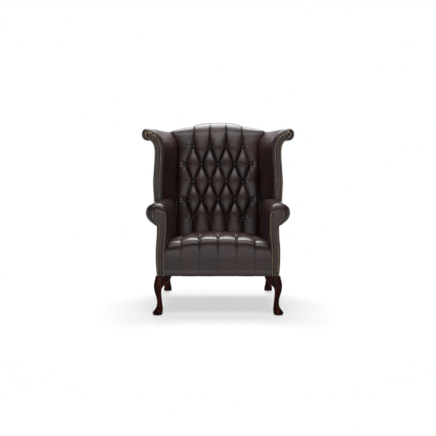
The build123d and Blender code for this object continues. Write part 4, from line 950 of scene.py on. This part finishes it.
scroll_out = np.array([
    (413, 997), (402, 986.5), (391, 976), (381, 962), (375.5, 944), (373.5, 925), (373, 900),
    (374, 870), (376.5, 817), (380, 760), (380, 700), (378, 650), (377, 600),
]) / 1000
band_spine = np.array([
    (364, 606), (364, 680), (364, 745), (359.5, 817), (357, 870), (356, 915), (359, 945), (368, 971),
    (382, 990), (398, 1006), (414, 1015),
]) / 1000
inner_margin = (-0.003, 0.001)
outer_margin = (0.002, -0.001)
band = np.concatenate([wing_nailing[:20] + inner_margin, scroll_out + outer_margin])
band_edge = trace(band, np.linspace(0, len(band) - 1, 260))


def along_band(points):
    """Height with a share of the way outwards, which grows all along the bent band."""
    return points[:, 1] + 0.35 * (points[:, 0] - 0.36)


stage = np.interp(along_band(band_edge), along_band(band_spine), np.arange(len(band_spine)))
band_middle = trace(band_spine, np.clip(np.round(stage * 3) / 3, 0, len(band_spine) - 1.001))
for side, word in sides:
    panel = facing(f"wing_band_{word}", band_edge, band_middle, wing_depth, side)
    settle(panel, "leather", f"wing_facing_{word}")


# Dress nails: domed solid-brass heads, antiqued brown, driven one against the next with
# their edges touching, round every facing and round the outside back.
brass = Finish("antique_brass", Metallic=1.0)
patina = brass.noise(brass.place(), 190.0, 4.0, 0.6)
brass.feed(
    Base_Color=brass.ramp(patina, (0.3, (0.13, 0.09, 0.05)), (0.5, (0.3, 0.215, 0.125)),
                          (0.7, (0.5, 0.375, 0.23))),
    Roughness=patina * 0.3 + 0.15,
)
nail_pitch = 0.0113
facing_nail = {"radius": 0.0039, "height": 0.0033, "rings": 4, "columns": 12, "tuck": 0.0004}
back_nail = {"radius": 0.0053, "height": 0.003, "rings": 4, "columns": 12, "tuck": 0.0004}
nail_lift = 0.001
nail_layer = -0.081


def spaced(points):
    """Even places about one nail apart along a smooth line through the points."""
    fine = trace(points, np.linspace(0, len(points) - 1, 3000))
    run = arc_length(fine)
    steps = np.linspace(0, run[-1], round(run[-1] / nail_pitch) + 1)
    return np.stack([np.interp(steps, run, fine[:, axis]) for axis in (0, 1)], axis=-1)


# The middles of the nails, x and height in millimetres: round the teardrop, round the
# scroll, and half of the outside back.
arm_nailing = np.array([
    (336, 227), (336.5, 260), (337, 300), (336.5, 345), (334.5, 380), (331, 415), (328, 455),
    (325.5, 490), (326.5, 512), (335.5, 523.5), (346, 533), (355.5, 544), (362, 558), (364, 572),
    (359, 584), (348, 588.5), (336, 590.5), (323, 588.5), (310, 585.5), (299.5, 581), (294.5, 567),
    (293.2, 545), (293.2, 510), (294, 480), (298, 437), (302, 400), (304.5, 365), (305, 330),
    (305, 280), (305, 227),
]) / 1000
wing_out = np.array([
    (377, 632), (378.5, 690), (376.5, 745), (371.8, 817), (370, 870), (369.7, 905), (370.5, 938),
    (376, 958), (386, 973), (398, 985), (409, 994), (420, 1000.5), (428, 1008), (428.5, 1020),
    (421, 1027), (408, 1027.5), (392, 1021), (379, 1010.5), (367, 997), (356, 982), (348, 964),
    (343, 945), (340, 925), (339.5, 892), (341, 858), (344.5, 800), (348, 745), (351, 690), (353, 634),
]) / 1000
half_row = np.array([
    (323, 236), (323, 420), (324, 520), (322, 620), (312, 690), (306, 745), (300, 830), (295, 911),
    (298, 960), (300, 1000), (290, 1022), (250, 1034), (210, 1043), (159, 1054), (115, 1067),
    (85, 1074), (61, 1078), (0, 1079),
]) / 1000
foot_nails = ((0.3155, 0.227), (0.3265, 0.227))
arm_row = np.concatenate([spaced(arm_nailing), foot_nails])
wing_row = spaced(wing_out)
back_row = spaced(np.concatenate([half_row * (-1, 1), half_row[-2::-1]]))
for side, word in sides:
    x, z = arm_row.T
    nails = domes(f"arm_brass_{word}", at_depth(side * x, -nail_lift, z),
                  (0, -1, 0), brass.material, **facing_nail)
    settle(nails, "brass_nails", f"arm_nails_{word}")
    x, z = wing_row.T
    nails = domes(f"wing_brass_{word}", at_depth(side * x, wing_depth(z) - nail_lift, z),
                  (0, -cos(wing_tilt), sin(wing_tilt)), brass.material, **facing_nail)
    settle(nails, "brass_nails", f"wing_nails_{word}")
x, z = back_row.T
nails = domes("back_brass", at_depth(x, back_depth(z, nail_layer), z), (0, cos(lean), -sin(lean)),
              brass.material, **back_nail)
settle(nails, "brass_nails", "back_nails")


# The studio: a white floor that keeps a soft shadow, white beyond it and dark overhead, with
# one large softbox above and behind the chair and two weak ones in front.
floor_half = 40.0
floor_mesh = bpy.data.meshes.new("floor")
floor_mesh.from_pydata([(-floor_half, -floor_half, 0), (floor_half, -floor_half, 0),
                        (floor_half, floor_half, 0), (-floor_half, floor_half, 0)], [], [(0, 1, 2, 3)])
floor = bpy.data.objects.new("floor", floor_mesh)
bpy.context.collection.objects.link(floor)


def in_sight(finish):
    """1 for rays from the camera, and 1 for rays from gloss or through glass."""
    rays = [finish.add("ShaderNodeLightPath", output=f"Is {ray} Ray")
            for ray in ("Glossy", "Transmission")]
    return finish.add("ShaderNodeLightPath", output="Is Camera Ray"), rays[0].maths("MAXIMUM", *rays)


paper = Finish("white_paper", Base_Color=(0.9, 0.9, 0.9, 1), Roughness=0.9)
far_off = paper.add("ShaderNodeVectorMath", {0: paper.place()}, output="Value", operation="LENGTH")
fade = paper.add("ShaderNodeMapRange", {"Value": far_off, "From Min": 0.6, "From Max": 1.8, "To Min": 0.6},
                 interpolation_type="SMOOTHSTEP")
direct, glanced = in_sight(paper)
lit = paper.add("ShaderNodeEmission", {"Color": (1, 1, 1, 1), "Strength": 1.0})
blended = paper.add("ShaderNodeMixShader", {0: fade * direct.maths("MAXIMUM", direct, glanced), 2: lit})
paper.tree.links.new(paper.shader.outputs[0], blended.link.node.inputs[1])
paper.tree.links.new(blended.link, paper.tree.nodes["Material Output"].inputs["Surface"])
floor_mesh.materials.append(paper.material)
floor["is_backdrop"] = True


class Sky(Finish):
    """The world's own node tree, written like a material."""

    def __init__(self, world):
        world.use_nodes = True
        self.tree = world.node_tree


world = bpy.data.worlds.new("studio")
bpy.context.scene.world = world
sky = Sky(world)
upward = sky.add("ShaderNodeSeparateXYZ", {0: sky.add("ShaderNodeTexCoord", output="Generated")}, output=2)
low = sky.add("ShaderNodeMapRange",
              {"Value": upward, "From Min": 0.2, "From Max": 0.42, "To Min": 1, "To Max": 0})
direct, glanced = in_sight(sky)
plain = sky.add("ShaderNodeBackground", {"Color": (0.8, 0.82, 0.86, 1), "Strength": 0.1})
white = sky.add("ShaderNodeBackground", {"Color": (1, 1, 1, 1), "Strength": 1.0})
seen = direct.maths("MAXIMUM", direct, glanced * low)
swap = sky.add("ShaderNodeMixShader", {0: seen, 1: plain, 2: white})
sky.tree.links.new(swap.link, sky.tree.nodes["World Output"].inputs["Surface"])


def softbox(name, place, aim, size, power):
    """A rectangular area lamp that faces the point it is aimed at."""
    lamp = bpy.data.lights.new(name, "AREA")
    lamp.shape = "RECTANGLE"
    lamp.size, lamp.size_y = size
    lamp.energy = power
    box = bpy.data.objects.new(name, lamp)
    box.location = place
    box.rotation_euler = (Vector(aim) - Vector(place)).to_track_quat("-Z", "Y").to_euler()
    bpy.context.collection.objects.link(box)


softbox("overhead", (0, 0.95, 2.9), (0, 0.1, 0.6), (1.6, 1.6), 118)
softbox("front_top", (0, -1.3, 3.0), (0, 0, 0.6), (2.6, 0.8), 45)
softbox("front_card", (0, -4.6, 1.0), (0, 0, 0.6), (3.0, 1.6), 30)


# The camera stands at breast height in front of the chair and looks slightly down at it,
# with a lens of 678 picture points, as fitted to the outlines of the picture.
picture_width = 436
lens_points = 678.1
sensor_width = 36.0
camera_distance = 3.733
camera_height = 0.965
camera_pitch = 6.33
camera_data = bpy.data.cameras.new("camera")
camera_data.sensor_width = sensor_width
camera_data.lens = lens_points / picture_width * sensor_width
camera = bpy.data.objects.new("camera", camera_data)
camera.location = (0, front_y - camera_distance, camera_height)
camera.rotation_euler = (radians(90 - camera_pitch), 0, 0)
bpy.context.collection.objects.link(camera)
bpy.context.scene.camera = camera
bpy.context.scene.view_settings.view_transform = "Standard"


def as_list(value):
    return [as_list(part) for part in value] if hasattr(value, "__len__") else float(value)


{"cad": as_list(cad_box), "visual": as_list(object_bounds())}
